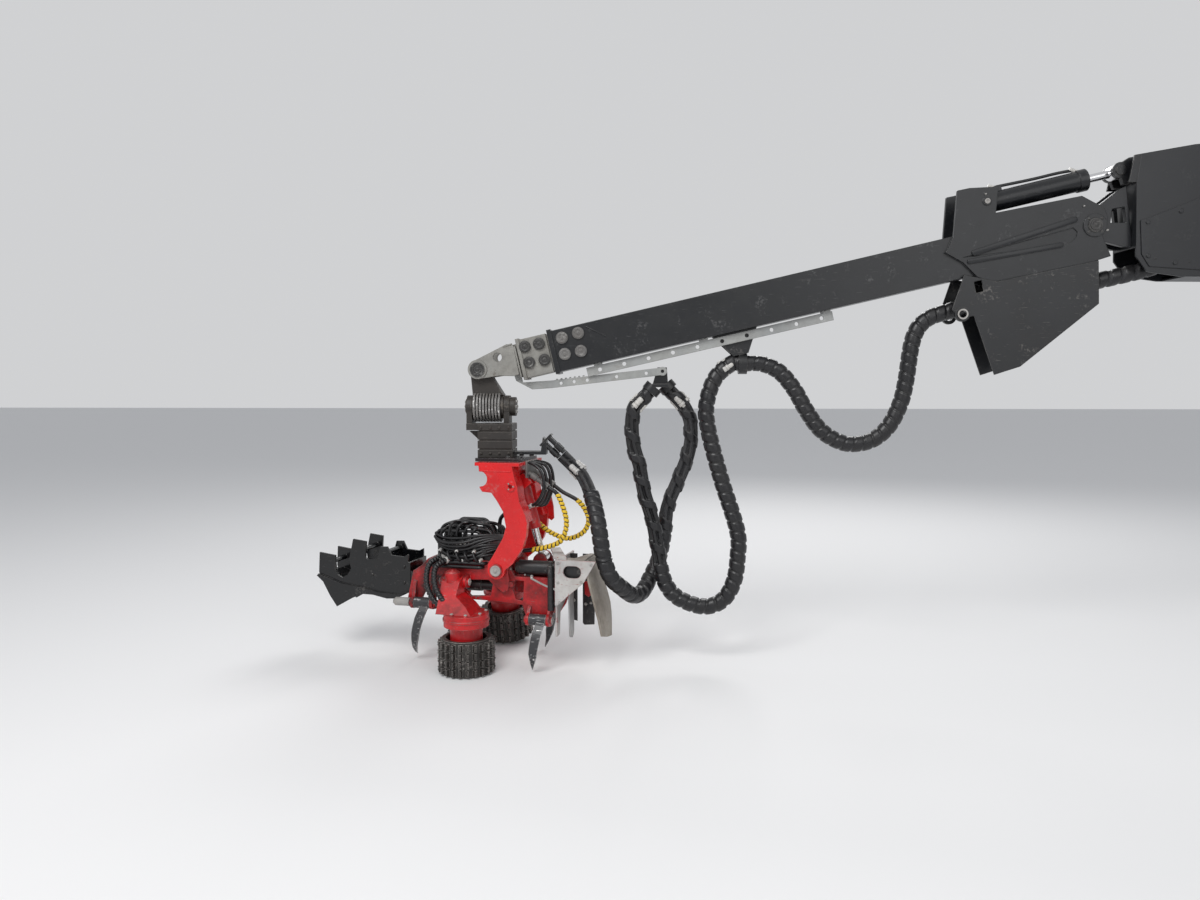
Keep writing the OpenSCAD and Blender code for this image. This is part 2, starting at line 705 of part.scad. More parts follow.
// One pin with a lug at each end, from x over a length
module pin_mount(x, len, z, up = 0) {
  pin_lug(x - 22, z, 20, up);
  pin_lug(x + len + 2, z, 20, up);
  rod_x(x - 34, -pin_y, z, pin_r, len + 68);
}
ear_in = arch_w / 2 - arch_t - frame_w / 2 - side;
module head_frame() {
  color("#c4232b") at_head() {
    both() difference() {
      plate(frame_out, frame_w / 2 - frame_t, frame_t);
      plate([[-50, -1280], [95, -1274], [122, -1300], [108, -1372], [-20, -1380], [-60, -1340]],
        frame_w / 2 - frame_t - 1, frame_t + 2);
      plate([[262, -1268], [322, -1268], [314, -1392], [268, -1386], [252, -1330]],
        frame_w / 2 - frame_t - 1, frame_t + 2);
    }
    plate([[-300, frame_top - 12], [215, frame_top - 12], [215, frame_top], [-300, frame_top]],
      -frame_w / 2 + frame_t, frame_w - 2 * frame_t);
    plate([[262, frame_low - 12], [540, frame_low - 12], [540, frame_low], [262, frame_low]],
      -frame_w / 2 + frame_t, frame_w - 2 * frame_t);
    for (x = [-350, -120, 160, 500])
      wall([[-frame_w / 2 + frame_t, -1355], [frame_w / 2 - frame_t, -1355],
        [frame_w / 2 - frame_t, -1262], [-frame_w / 2 + frame_t, -1262]], x, 14);
    both() {
      rod_y([tilt_x, -tilt_drop], 64, frame_w / 2, ear_in);
      rod_y([tilt_x, -tilt_drop], tilt_r, frame_w / 2, arch_w / 2 - frame_w / 2 + 4);
      rod_y([tilt_x, -tilt_drop], tilt_r + 10, arch_w / 2 + side, 8);
      plate([[114, -1215], [226, -1215], [240, -1262], [232, -1320], [200, -1340], [160, -1312],
        [128, -1262]], frame_w / 2, ear_in);
      rod_y([246, -1290], 17, frame_w / 2, ear_in - 4);
    }
    pin_mount(arm_x, arm_hub, arm_z);
    pin_mount(fk_x, knife_w, fk_z, 84);
    pin_mount(rk_x, knife_w, rk_z, 30);
    mirror([0, 1, 0]) {
      pin_mount(arm_x, arm_hub, arm_z);
      pin_mount(fk_x + blade_w + 8, knife_w, fk_z, 84);
      pin_mount(rk_x - blade_w - 8, knife_w, rk_z, 30);
    }
    both() {
      plate([[318, frame_low], [358, -1135], [430, -1135], [472, frame_low]], 44, 20);
      rod_y(frame_pin, 36, 44, 20);
    }
  }
}
// Long pins and bushes that reach forward from the knives
module knife_pins() {
  color("#9a9b98") at_head() for (s = [-1, 1]) {
    x = fk_x - 34 + (s > 0 ? blade_w + 8 : 0);
    rod_x(x - 96, s * pin_y, fk_z, 26, 96);
    rod_x(x - 108, s * pin_y, fk_z, 17, 12);
  }
}

// Valve bank with its ports, and hoses that bend over from port to port
block_top = -1048;
module valve_block() {
  color("#1a1b1c") at_head() {
    both() {
      difference() {
        translate([-244, 0, frame_top]) cube([340, 130, block_top - frame_top]);
        for (i = [0 : 4]) translate([-192 + 60 * i, 126, frame_top - 1]) cube([12, 8, 120]);
      }
      for (i = [0 : 5]) translate([-216 + 56 * i, 130, -1104]) rotate([-90, 0, 0])
        cylinder(r = 17, h = 22);
      rod_x(-106, 84, -1322, 30, 266);
      rod_x(-60, 84, -1322, 38, 90);
    }
    rod_x(96, -97, -1100, 16, 44);
    rod_x(102, -97, -1100, 21, 16);
    translate([78, 97, block_top]) {
      cylinder(r = 16, h = 48);
      translate([0, 0, 6]) cylinder(r = 21, h = 18);
    }
  }
}
module saw_motor() {
  color("#1c1d1e") at_head() {
    rod_x(box_x - 22, -112, -1192, 52, 22);
    rod_x(282, -112, -1192, 44, box_x - 22 - 282);
    rod_x(262, -112, -1192, 30, 20);
    for (x = [330, 476]) translate([x, -130, frame_low]) cube([24, 36, 20]);
    for (z = [-1280, -1412]) translate([489, -200, z]) cube([32, 200 - frame_w / 2, 28]);
    translate([505, -200, -1425]) cylinder(r = 19, h = 267);
    translate([505, -200, -1158]) cylinder(r = 10, h = 24);
  }
}
// Hose in a plane along X: up, over with two bends, and down
module bent_hose(x0, x1, y, z0, z1, r, b) {
  rod_z(x0, y, z0, r, z1 - b - z0);
  rod_z(x1, y, z0, r, z1 - b - z0);
  rod_x(x0 + b, y, z1, r, x1 - x0 - 2 * b);
  translate([x0 + b, y, z1 - b]) rotate([90, 0, 0]) elbow(b, r, 90);
  translate([x1 - b, y, z1 - b]) rotate([90, 0, 0]) elbow(b, r, 0);
  rod_z(x0, y, z0, r * 1.5, 26);
  rod_z(x1, y, z0, r * 1.5, 26);
}
// Hose along the near side, with both ends turned in to the frame
module side_hose(x0, x1, z, r, b) {
  y = -frame_w / 2 - b;
  rod_x(x0, y, z, r, x1 - x0);
  translate([x0, y + b, z]) elbow(b, r, 180);
  translate([x1, y + b, z]) elbow(b, r, 270);
}
module elbow(b, r, a) {
  rotate([0, 0, a]) rotate_extrude(angle = 90) translate([b, 0]) circle(r = r, $fn = 24);
}
module rod_z(x, y, z, r, len) {
  translate([x, y, z]) cylinder(r = r, h = len, $fn = 24);
}
module head_hoses() {
  color("#0f1012") at_head() {
    for (i = [0 : 8]) bent_hose(-232 + 34 * (i % 3), 44 - 30 * (i % 2), -118 + 29.5 * i,
      block_top, block_top + 60 + 12 * ((i * 2) % 5), 9.5, 44);
    for (i = [0 : 1]) side_hose(-262 + 14 * i, 60 - 22 * i, -1172 - 26 * i, 11, 22);
  }
}
saw_pivot = [-150, -1215];
box_x = 540;
// Slope of the saw's end cover and its place at the top of the near edge
cover_lean = 14.7;
cover_x = 723;
module saw_box() {
  color("#b6b5ae") at_head() {
    difference() {
      plate([[box_x, -1115], [box_x, -1387], [554, -1387], [714, -1244], [788, -1115]], -232, 12);
      translate([0, -200, 0]) {
        rod_y([627, -1184], 36, -40, 60);
        rod_y([663, -1184], 36, -40, 60);
        translate([627, -40, -1220]) cube([36, 60, 72]);
      }
    }
    wall([[-220, -1127], [150, -1127], [150, -1290], [96, -1370], [-60, -1400], [-150, -1440],
      [-168, -1575], [-220, -1575]], box_x, 11);
    translate([0, 0, -1127]) linear_extrude(12)
      polygon([[box_x, -220], [604, -220], [592, -159], [462, 150], [452, 168], [400, 140],
        [452, 10], [505, -150], [box_x, -150]]);
    rod_x(box_x + 11, saw_pivot[0], saw_pivot[1], 54, 56);
  }
}
// Leaf shaped cover at the end
module saw_cover() {
  color("#8f9190") at_head() {
    translate([cover_x, 0, -1192]) rotate([0, -cover_lean, 0])
      wall([[-220, 66], [26, 66], [40, 16], [60, -53], [92, -125], [102, -191], [100, -246],
        [70, -305], [18, -362], [-43, -418], [-120, -406], [-232, -374], [-216, -284],
        [-220, -190]], 0, 12);
    translate([0, 0, -1127]) linear_extrude(12) polygon([[604, -220], [712, -220], [712, 20],
      [690, 20], [640, -150], [598, -150]]);
  }
}
bar_x = box_x + 67.3;
module saw_bar() {
  color("#a9abab") at_head() {
    translate([bar_x, saw_pivot[0], saw_pivot[1]]) rotate([4, 0, 0]) {
      translate([0, -saw_w / 2, -saw_len + saw_w / 2]) cube([10, saw_w, saw_len - saw_w / 2]);
      translate([0, 0, -saw_len + saw_w / 2]) rotate([0, 90, 0]) cylinder(r = saw_w / 2, h = 10);
      rotate([0, 90, 0]) cylinder(r = 50, h = 22);
    }
  }
}
guard_w = 236;
guard_fold = [
  [-1072, -1300], [-918, -1352], [-765, -1374], [-658, -1396], [-529, -1403], [-452, -1384]
];
guard_rim = [
  [-1084, -1311], [-1040, -1349], [-992, -1437], [-944, -1505], [-843, -1448], [-766, -1414],
  [-690, -1415], [-594, -1434], [-529, -1430], [-450, -1392]
];
guard_teeth = [
  [-452, -1196], [-452, -1150], [-482, -1166], [-567, -1160], [-593, -1107], [-641, -1109],
  [-664, -1188], [-729, -1193], [-745, -1184], [-738, -1079], [-830, -1068], [-858, -1189],
  [-849, -1262], [-873, -1300], [-912, -1320], [-939, -1303], [-955, -1274], [-958, -1178],
  [-1069, -1163], [-1076, -1290]
];
module front_guard() {
  color("#0c0d0f") at_head() {
    both() {
      plate(concat(guard_teeth, guard_fold), guard_w / 2 - 14, 14);
      plate(concat(guard_rim, [for (i = [5 : -1 : 0]) guard_fold[i]]), guard_w / 2 - 9, 25);
    }
    plate([[-1040, -1312], [-918, -1352], [-765, -1374], [-658, -1396], [-529, -1403],
      [-452, -1384], [-452, -1370], [-530, -1389], [-656, -1382], [-762, -1360], [-914, -1338],
      [-1034, -1299]], -guard_w / 2 + 14, guard_w - 28);
    for (p = [[-1016, -1230], [-784, -1140], [-616, -1150]])
      rod_y(p, 16, -guard_w / 2 + 14, guard_w - 28);
    wall([[-guard_w / 2, -1200], [guard_w / 2, -1200], [guard_w / 2, -1390], [-guard_w / 2, -1390]],
      -452, 14);
    both() translate([-438, 96, -1380]) cube([88, 16, 120]);
  }
}

roller_x = 14;
roller_z = -1794;
roller_top = roller_z + roller_h;
motor_z = -1516;
motor_top = -1440;
module arm_shape() {
  color("#cf2a2c") {
    difference() {
      union() {
        rod_x(arm_x, -pin_y, arm_z, 36, arm_hub);
        intersection() {
          plate([[arm_x, arm_z + 36], [arm_x + 12, -1345], [arm_x + 22, motor_top - 4],
            [roller_x + 66, motor_top - 4], [roller_x + 20, -1398], [arm_x + arm_hub, -1345],
            [arm_x + arm_hub, arm_z + 36]], -460, 400);
          wall([[-pin_y - 20, arm_z + 34], [-pin_y + 10, arm_z - 30], [-200, arm_z - 90],
            [-212, motor_top], [-roller_y - 90, motor_top], [-roller_y - 50, motor_top + 50],
            [-262, arm_z + 16]], -400, 600);
        }
        translate([arm_x + arm_hub / 2, -228, arm_z + 6]) cylinder(r = 46, h = 58);
        translate([arm_x + arm_hub / 2, -228, arm_z + 64]) cylinder(r = 38, h = 6);
      }
      rod_x(arm_x - 1, -pin_y, arm_z, pin_r + run, arm_hub + 2);
    }
    difference() {
      union() {
        translate([roller_x, -roller_y, motor_z]) cylinder(r = motor_r, h = motor_top - motor_z);
        translate([roller_x, -roller_y, motor_z + 34]) cylinder(r = motor_r + 5, h = 12);
      }
      translate([roller_x, -roller_y, motor_z - 1]) cylinder(r = motor_r - 22, h = 30);
    }
    translate([roller_x, -roller_y, motor_z - 100]) cylinder(r = 96, h = 150);
    translate([roller_x, -roller_y, roller_z + 30]) cylinder(r = shaft_r, h = roller_h - 20);
    for (i = [0 : 7]) translate([roller_x, -roller_y, motor_top]) rotate([0, 0, 45 * i + 20])
      translate([motor_r - 18, 0, 0]) cylinder(r = 10, h = 8);
  }
}
module near_arm() {
  at_head() arm_shape();
}
// Mirrored place of the far arm, swung open by an angle about its pin
module far_side() {
  at_head() mirror([0, 1, 0]) translate([0, -pin_y, arm_z]) rotate([-far_open, 0, 0])
    translate([0, pin_y, -arm_z]) children();
}
module far_arm() {
  far_side() arm_shape();
}
// One roller: stacked rings of teeth on a drum, with a plain groove between
tooth = 360 / spike_n;
function spikes(r0, r1) = [
  for (i = [0 : spike_n - 1]) for (k = [0 : 3])
    let (a = i * tooth + [-0.3, -0.12, 0.12, 0.3][k] * tooth, r = [r0, r1, r1, r0][k])
    r * [cos(a), sin(a)]
];
module roller() {
  difference() {
    union() {
      cylinder(r = roller_r - 22, h = roller_h);
      for (i = [0 : 3]) translate([0, 0, 8 + i * (roller_h - 12) / 4])
        linear_extrude((roller_h - 12) / 4 - 10) polygon(spikes(roller_r - 24, roller_r));
    }
    translate([0, 0, -1]) cylinder(r = shaft_r + run, h = roller_h + 2);
    translate([0, 0, roller_h - 52]) cylinder(r = roller_r - 46, h = 60);
  }
}
module near_roller() {
  color("#4b4a47") at_head() translate([roller_x, -roller_y, roller_z]) roller();
}
module far_roller() {
  color("#4b4a47") far_side() translate([roller_x, -roller_y, roller_z]) roller();
}

// Knife that curves from its pin down to its tip, both given in Y and Z
module knife(x, p, tip, r, lean) {
  m = (p + tip) / 2;
  h = norm(tip - p) / 2;
  u = unit(tip - p);
  c = m + sqrt(r * r - h * h) * [-u[1], u[0]];
  a0 = (atan2(p[1] - c[1], p[0] - c[0]) + 360) % 360;
  a1 = (atan2(tip[1] - c[1], tip[0] - c[0]) + 360) % 360;
  n = 14;
  outer = [
    for (i = [0 : n]) let (a = a0 + (a1 - a0) * i / n, k = r + knife_t * (0.5 - 0.42 * i / n))
      c + k * [cos(a), sin(a)]
  ];
  inner = [
    for (i = [n : -1 : 0]) let (a = a0 + (a1 - a0) * i / n, k = r - knife_t * (0.5 - 0.42 * i / n))
      c + k * [cos(a), sin(a)]
  ];
  e = x + knife_w;
  difference() {
    union() {
      intersection() {
        translate([e - 30, 0, p[1]]) rotate([0, lean, 0]) translate([-e + 30, 0, -p[1]])
          intersection() {
            wall(concat(outer, inner), e - 30 - blade_w / 2, blade_w);
            translate([e - 30 - blade_w / 2, c[0], c[1]]) rotate([0, 90, 0]) rotate_extrude()
              polygon([[r - knife_t, 14], [r + knife_t * 0.4, 0], [r + knife_t, 0],
                [r + knife_t, blade_w], [r + knife_t * 0.4, blade_w],
                [r - knife_t, blade_w - 14]]);
            plate([[e - 52, p[1] + 10], [e - 8, p[1] + 10], [e - 1, p[1] - 90],
              [e - 4, p[1] - 190], [e - 14, tip[1] + 50], [e - 30, tip[1] - 10],
              [e - 44, tip[1] + 60], [e - 56, p[1] - 190], [e - 59, p[1] - 90]], -400, 400);
          }
        plate([[x - 80, p[1] + 10], [e, p[1] + 10], [e, tip[1]], [x - 80, tip[1]]], -400, 400);
      }
      rod_x(x, p[0], p[1], 34, knife_w);
    }
    rod_x(x - 1, p[0], p[1], pin_r + run, knife_w + 2);
  }
}
front_tip = [-118, -1785];
rear_tip = [-232, -1785];
module front_knife_near() {
  color("#3a3a3a") at_head() knife(fk_x, [-pin_y, fk_z], front_tip, 235, front_lean);
}
module front_knife_far() {
  color("#3a3a3a") at_head() mirror([0, 1, 0])
    knife(fk_x + blade_w + 8, [-pin_y, fk_z], front_tip, 235, front_lean);
}
module rear_knife_near() {
  color("#55534e") at_head() knife(rk_x, [-pin_y, rk_z], rear_tip, 200, rear_lean);
}
module rear_knife_far() {
  color("#55534e") at_head() mirror([0, 1, 0])
    knife(rk_x - blade_w - 8, [-pin_y, rk_z], rear_tip, 200, rear_lean);
}

// Hose swept along its points
module tube(pts, r, n = 8) {
  m = len(pts);
  tan = [
    for (i = [0 : m - 1])
      i == 0 ? unit(pts[1] - pts[0])
      : i == m - 1 ? unit(pts[m - 1] - pts[m - 2])
      : unit(unit(pts[i + 1] - pts[i]) + unit(pts[i] - pts[i - 1]))
  ];
  ring = [
    for (i = [0 : m - 1])
      let (s = unit(cross(tan[i], [0.05, 1, 0.03])), t = cross(tan[i], s))
      for (k = [0 : n - 1]) pts[i] + r * (cos(360 * k / n) * s + sin(360 * k / n) * t)
  ];
  side_faces = [
    for (i = [0 : m - 2]) for (k = [0 : n - 1])
      [i * n + (k + 1) % n, i * n + k, (i + 1) * n + k, (i + 1) * n + (k + 1) % n]
  ];
  polyhedron(points = ring, faces = concat(side_faces,
    [[for (k = [0 : n - 1]) k], [for (k = [n - 1 : -1 : 0]) (m - 1) * n + k]]), convexity = 10);
}
knuckle_pts = [
  [-3880, 0, -520], [-4030, 0, -572], [-4275, 0, -630], [-4450, 0, -676],
  [-4650, 0, -712], [-4820, 0, -725], [-4960, 0, -742], [-5110, 0, -797]
];
main_pts = [
  [-5110, 0, -797], [-5260, 0, -852], [-5335, 0, -965], [-5370, 0, -1215],
  [-5400, 0, -1350], [-5465, 0, -1485], [-5560, 0, -1570], [-5680, 0, -1597], [-5780, 0, -1573],
  [-5880, 0, -1504], [-5965, 0, -1386], [-6035, 0, -1265], [-6125, 0, -1160],
  [-6235, 0, -1112], [-6345, 0, -1112]
];
loop_pts = [
  [-6345, 0, -1112], [-6410, 0, -1112], [-6510, -20, -1200], [-6560, -40, -1350],
  [-6550, -45, -1500],
  [-6470, -50, -1810], [-6370, -60, -2125],
  [-6365, -60, -2280], [-6385, -60, -2425], [-6445, -60, -2538], [-6540, -60, -2587],
  [-6650, -60, -2572], [-6760, -60, -2511], [-6822, -60, -2400], [-6855, -60, -2205],
  [-6885, -60, -2050], [-6935, -60, -1890], [-6965, -60, -1735], [-7005, -60, -1577],
  [-6998, -60, -1394], [-6905, -60, -1284]
];
head_pts = [
  [-6780, 60, -1272], [-6690, 60, -1375], [-6650, 60, -1500], [-6672, 60, -1686],
  [-6780, 60, -1970], [-6800, 60, -2080], [-6838, 50, -2300],
  [-6895, 22, -2432], [-6945, -60, -2505], [-6998, -150, -2505], [-7065, -235, -2440],
  [-7127, -285, -2370], [-7170, -295, -2250], [-7203, -280, -2055], [-7245, -180, -1910],
  [-7305, -60, -1797], [-7378, 0, -1730], [-7440, 0, -1670]
];
wrap1_pts = [
  [-7512.9, -124.3, -1856.8], [-7456.9, -135.2, -1896.8], [-7416, -147, -1990],
  [-7399, -159, -2066], [-7411, -165, -2133], [-7443, -164, -2184], [-7520, -156, -2216],
  [-7626, -140, -2238], [-7738.8, -118.1, -2247.8], [-7821.9, -102, -2247.8]
];
wrap2_pts = [
  [-7490.1, -6.5, -1856.8], [-7434, -17.4, -1896.8], [-7340, -34, -1948], [-7288, -38, -2016],
  [-7275, -34, -2081], [-7312, -21, -2149], [-7399, -2, -2188], [-7497, 15, -2163],
  [-7576, 28, -2112], [-7635, 38, -2057], [-7716, 54, -2028], [-7788, 74, -2038],
  [-7833, 93, -2073], [-7846.1, 100.4, -2112.8], [-7846.1, 100.4, -2147.4]
];
module hose_knuckle() { color("#0d0e10") tube(knuckle_pts, hose_r); }
module hose_main() { color("#0d0e10") tube(main_pts, hose_r); }
module hose_loop() { color("#0d0e10") tube(loop_pts, hose_r); }
module hose_head() { color("#0d0e10") tube(head_pts, hose_r); }
module wrapped_hose_1() { color("#e0b326") tube(wrap1_pts, 16); }
module wrapped_hose_2() { color("#e0b326") tube(wrap2_pts, 16); }

main_boom();
boom_tongue();
boom_cover();
rod_clevis();
jib_beam();
jib_base();
knuckle_pin();
hose_guard();
upper_rail();
jib_clamp();
jib_barrel();
jib_rod();
extension_1();
extension_2();
lower_rail();
hose_bracket();
tip_pin();
tip_link();
brake_discs();
rotator();
hose_bulkhead();
arch();
arch_hoses();
tilt_barrel();
tilt_rod();
head_frame();
valve_block();
head_hoses();
saw_motor();
knife_pins();
saw_box();
saw_cover();
front_guard();
near_arm();
far_arm();
near_roller();
far_roller();
front_knife_near();
front_knife_far();
rear_knife_near();
rear_knife_far();
saw_bar();
hose_knuckle();
hose_main();
hose_loop();
hose_head();
wrapped_hose_1();
wrapped_hose_2();
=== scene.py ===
# %% [markdown]
# # A harvester crane and its felling head
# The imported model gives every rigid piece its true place. This file dresses it:
# it sets the camera, makes the hose bundles, adds the small fasteners and
# fittings, and gives each surface its own worn paint, steel or rubber.
# %% Load the frame
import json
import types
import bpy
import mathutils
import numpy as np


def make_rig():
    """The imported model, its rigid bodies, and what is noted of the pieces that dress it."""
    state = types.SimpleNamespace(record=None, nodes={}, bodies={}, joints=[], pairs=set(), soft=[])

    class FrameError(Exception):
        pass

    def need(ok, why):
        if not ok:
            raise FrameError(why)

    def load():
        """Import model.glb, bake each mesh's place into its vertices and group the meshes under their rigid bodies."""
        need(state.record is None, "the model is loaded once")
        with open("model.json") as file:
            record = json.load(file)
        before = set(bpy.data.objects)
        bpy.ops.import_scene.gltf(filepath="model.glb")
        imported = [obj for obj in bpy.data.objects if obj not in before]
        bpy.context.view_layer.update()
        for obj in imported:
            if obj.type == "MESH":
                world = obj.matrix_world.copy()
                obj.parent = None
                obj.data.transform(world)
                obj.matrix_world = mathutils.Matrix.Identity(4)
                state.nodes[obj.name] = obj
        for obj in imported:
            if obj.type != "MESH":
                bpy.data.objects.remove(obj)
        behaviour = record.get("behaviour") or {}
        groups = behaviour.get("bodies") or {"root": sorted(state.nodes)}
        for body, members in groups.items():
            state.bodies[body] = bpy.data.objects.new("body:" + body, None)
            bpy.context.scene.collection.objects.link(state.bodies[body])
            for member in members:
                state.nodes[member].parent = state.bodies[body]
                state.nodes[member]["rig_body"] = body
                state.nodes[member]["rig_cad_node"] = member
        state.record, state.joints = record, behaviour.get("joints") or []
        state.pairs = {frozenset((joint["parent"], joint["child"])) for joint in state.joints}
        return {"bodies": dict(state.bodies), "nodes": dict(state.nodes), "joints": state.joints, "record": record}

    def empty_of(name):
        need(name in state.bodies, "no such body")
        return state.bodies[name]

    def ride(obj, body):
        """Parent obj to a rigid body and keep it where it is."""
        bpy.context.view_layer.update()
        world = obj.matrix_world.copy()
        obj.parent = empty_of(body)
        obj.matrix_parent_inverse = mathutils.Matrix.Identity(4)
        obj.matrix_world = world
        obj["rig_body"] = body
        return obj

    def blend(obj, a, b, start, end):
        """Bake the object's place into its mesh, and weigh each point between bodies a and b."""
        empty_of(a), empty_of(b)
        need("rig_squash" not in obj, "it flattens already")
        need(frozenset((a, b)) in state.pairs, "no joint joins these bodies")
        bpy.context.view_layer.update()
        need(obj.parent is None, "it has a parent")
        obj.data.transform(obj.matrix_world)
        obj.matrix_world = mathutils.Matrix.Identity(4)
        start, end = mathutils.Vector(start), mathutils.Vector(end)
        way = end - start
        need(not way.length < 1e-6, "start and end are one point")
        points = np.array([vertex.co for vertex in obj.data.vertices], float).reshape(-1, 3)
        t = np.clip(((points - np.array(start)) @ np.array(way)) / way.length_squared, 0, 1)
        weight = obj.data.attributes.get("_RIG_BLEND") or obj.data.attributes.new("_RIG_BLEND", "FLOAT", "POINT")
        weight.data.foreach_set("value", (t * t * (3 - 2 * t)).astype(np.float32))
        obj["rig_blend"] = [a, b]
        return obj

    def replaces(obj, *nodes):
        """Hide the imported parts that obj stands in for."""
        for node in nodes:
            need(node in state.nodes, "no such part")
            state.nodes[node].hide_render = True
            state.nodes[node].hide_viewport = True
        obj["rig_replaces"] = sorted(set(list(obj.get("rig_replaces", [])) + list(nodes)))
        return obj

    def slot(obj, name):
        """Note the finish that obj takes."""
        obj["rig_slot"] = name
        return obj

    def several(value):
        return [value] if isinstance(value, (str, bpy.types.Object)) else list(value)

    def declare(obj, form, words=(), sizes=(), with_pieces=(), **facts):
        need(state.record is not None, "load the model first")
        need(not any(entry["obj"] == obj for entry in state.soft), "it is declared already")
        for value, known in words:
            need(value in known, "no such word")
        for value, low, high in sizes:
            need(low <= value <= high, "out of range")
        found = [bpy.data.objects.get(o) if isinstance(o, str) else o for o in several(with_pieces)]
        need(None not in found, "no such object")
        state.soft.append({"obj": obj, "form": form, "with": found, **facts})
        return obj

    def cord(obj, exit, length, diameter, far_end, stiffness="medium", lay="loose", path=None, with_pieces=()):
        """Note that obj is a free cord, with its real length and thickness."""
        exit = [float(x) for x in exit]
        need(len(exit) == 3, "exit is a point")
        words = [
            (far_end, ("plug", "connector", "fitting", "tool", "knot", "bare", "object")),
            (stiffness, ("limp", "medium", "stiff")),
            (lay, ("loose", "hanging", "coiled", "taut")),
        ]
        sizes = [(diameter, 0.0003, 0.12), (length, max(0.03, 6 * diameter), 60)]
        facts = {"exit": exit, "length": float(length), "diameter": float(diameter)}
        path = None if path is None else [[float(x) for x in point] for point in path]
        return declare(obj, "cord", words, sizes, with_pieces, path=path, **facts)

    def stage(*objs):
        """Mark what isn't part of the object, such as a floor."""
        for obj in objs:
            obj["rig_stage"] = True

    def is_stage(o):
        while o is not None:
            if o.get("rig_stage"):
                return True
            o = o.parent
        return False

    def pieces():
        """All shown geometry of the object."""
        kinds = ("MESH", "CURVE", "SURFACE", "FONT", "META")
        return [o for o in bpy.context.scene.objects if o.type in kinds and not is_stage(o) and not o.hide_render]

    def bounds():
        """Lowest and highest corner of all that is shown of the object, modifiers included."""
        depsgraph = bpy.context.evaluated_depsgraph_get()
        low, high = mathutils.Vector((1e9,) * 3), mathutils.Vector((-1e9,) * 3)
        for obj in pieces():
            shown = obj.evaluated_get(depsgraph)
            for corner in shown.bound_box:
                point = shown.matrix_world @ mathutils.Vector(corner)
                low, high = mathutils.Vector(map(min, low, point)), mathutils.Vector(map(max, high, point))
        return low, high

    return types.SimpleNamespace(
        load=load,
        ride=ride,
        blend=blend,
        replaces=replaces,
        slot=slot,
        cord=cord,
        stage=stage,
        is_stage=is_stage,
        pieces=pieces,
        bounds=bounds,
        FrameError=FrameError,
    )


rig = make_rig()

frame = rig.load()

import json
import math

import bmesh
import bpy
from mathutils import Matrix, Vector

cad_box = [list(corner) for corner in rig.bounds()]
bpy.ops.object.select_all(action="DESELECT")
print("CAD box", cad_box)

# %% [markdown]
# The crane lies in the XZ plane. Two pins give most places on it: the knuckle
# between the boom and the jib, and the pin at the jib's tip. The small helpers
# turn millimetres measured from those pins into the metres of the scene.
# %% Places on the crane
KNUCKLE = Vector((-4.355, 0, -0.326))
TIP = Vector((-7.943096, 0, -1.147784))
JIB_DIP = math.radians(12.9)
HEAD_TURN = math.radians(11)
ROTATOR_X = 105
HEAD_DROP = -1794
GROUND = TIP.z + HEAD_DROP / 1000
SIDES = (-1, 1)


def mm(x, y, z):
    return Vector((x, y, z)) / 1000


def at_tip(x, y, z):
    return TIP + mm(x, y, z)


def on_jib(x, y, z):
    c, s = math.cos(JIB_DIP), math.sin(JIB_DIP)
    return KNUCKLE + mm(x * c - z * s, y, x * s + z * c)


def on_head(x, y, z):
    """Millimetres from the tip in the head's own axes, which stand turned a little."""
    c, s = math.cos(HEAD_TURN), math.sin(HEAD_TURN)
    return TIP + mm(ROTATOR_X + (x - ROTATOR_X) * c + y * s, y * c - (x - ROTATOR_X) * s, z)


# %% [markdown]
# The photograph was taken by someone standing on the ground beside the head, so
# the camera stands at eye height, looks slightly down and sees the crane from
# its near side. Its lens is a phone's wide one, of about 27 mm.
# %% Camera
EYE = (-6.911, -5.505, -1.241)
LENS, SENSOR = 27.03, 36
LOOK_DOWN, LOOK_LEFT = math.radians(90 - 4.13), math.radians(3.07)
camera_data = bpy.data.cameras.new("camera")
camera_data.lens = LENS
camera_data.sensor_width = SENSOR
camera = bpy.data.objects.new("camera", camera_data)
camera.location = EYE
camera.rotation_euler = (LOOK_DOWN, 0, LOOK_LEFT)
bpy.context.scene.collection.objects.link(camera)
bpy.context.scene.camera = camera
print("camera stands", round(EYE[2] - GROUND, 2), "m above the ground")

# %% [markdown]
# ## Hose bundles
# Groups of pressure hoses run in thick black sleeves from the boom to the head.
# A sleeve could be a bevelled curve, but the spiral guard that is wound on it
# has to stand proud of the cloth. So a ring of points is carried along the
# route, and its radius steps up wherever the winding passes. The routes repeat
# the rounded points of the solids, eased by a spline that runs through them.
# %% Spline and sweep helpers
SPLINE_STEPS = 24


def eased(points, step):
    """Evenly spaced points on a spline that runs through the given points."""
    p = [Vector(q) / 1000 for q in points]
    p = [2 * p[0] - p[1]] + p + [2 * p[-1] - p[-2]]
    fine = []
    for i in range(1, len(p) - 2):
        a, b, c, d = p[i - 1:i + 3]
        for k in range(SPLINE_STEPS):
            t = k / SPLINE_STEPS
            fine.append(0.5 * (2 * b + (c - a) * t + (2 * a - 5 * b + 4 * c - d) * t * t
                               + (3 * b - a - 3 * c + d) * t ** 3))
    fine.append(p[-2])
    travel = [0.0]
    for a, b in zip(fine, fine[1:]):
        travel.append(travel[-1] + (b - a).length)
    count = max(8, round(travel[-1] / step))
    out, j = [], 0
    for i in range(count + 1):
        s = travel[-1] * i / count
        while j < len(fine) - 2 and travel[j + 1] < s:
            j += 1
        t = (s - travel[j]) / max(travel[j + 1] - travel[j], 1e-9)
        out.append(fine[j].lerp(fine[j + 1], min(max(t, 0), 1)))
    return out


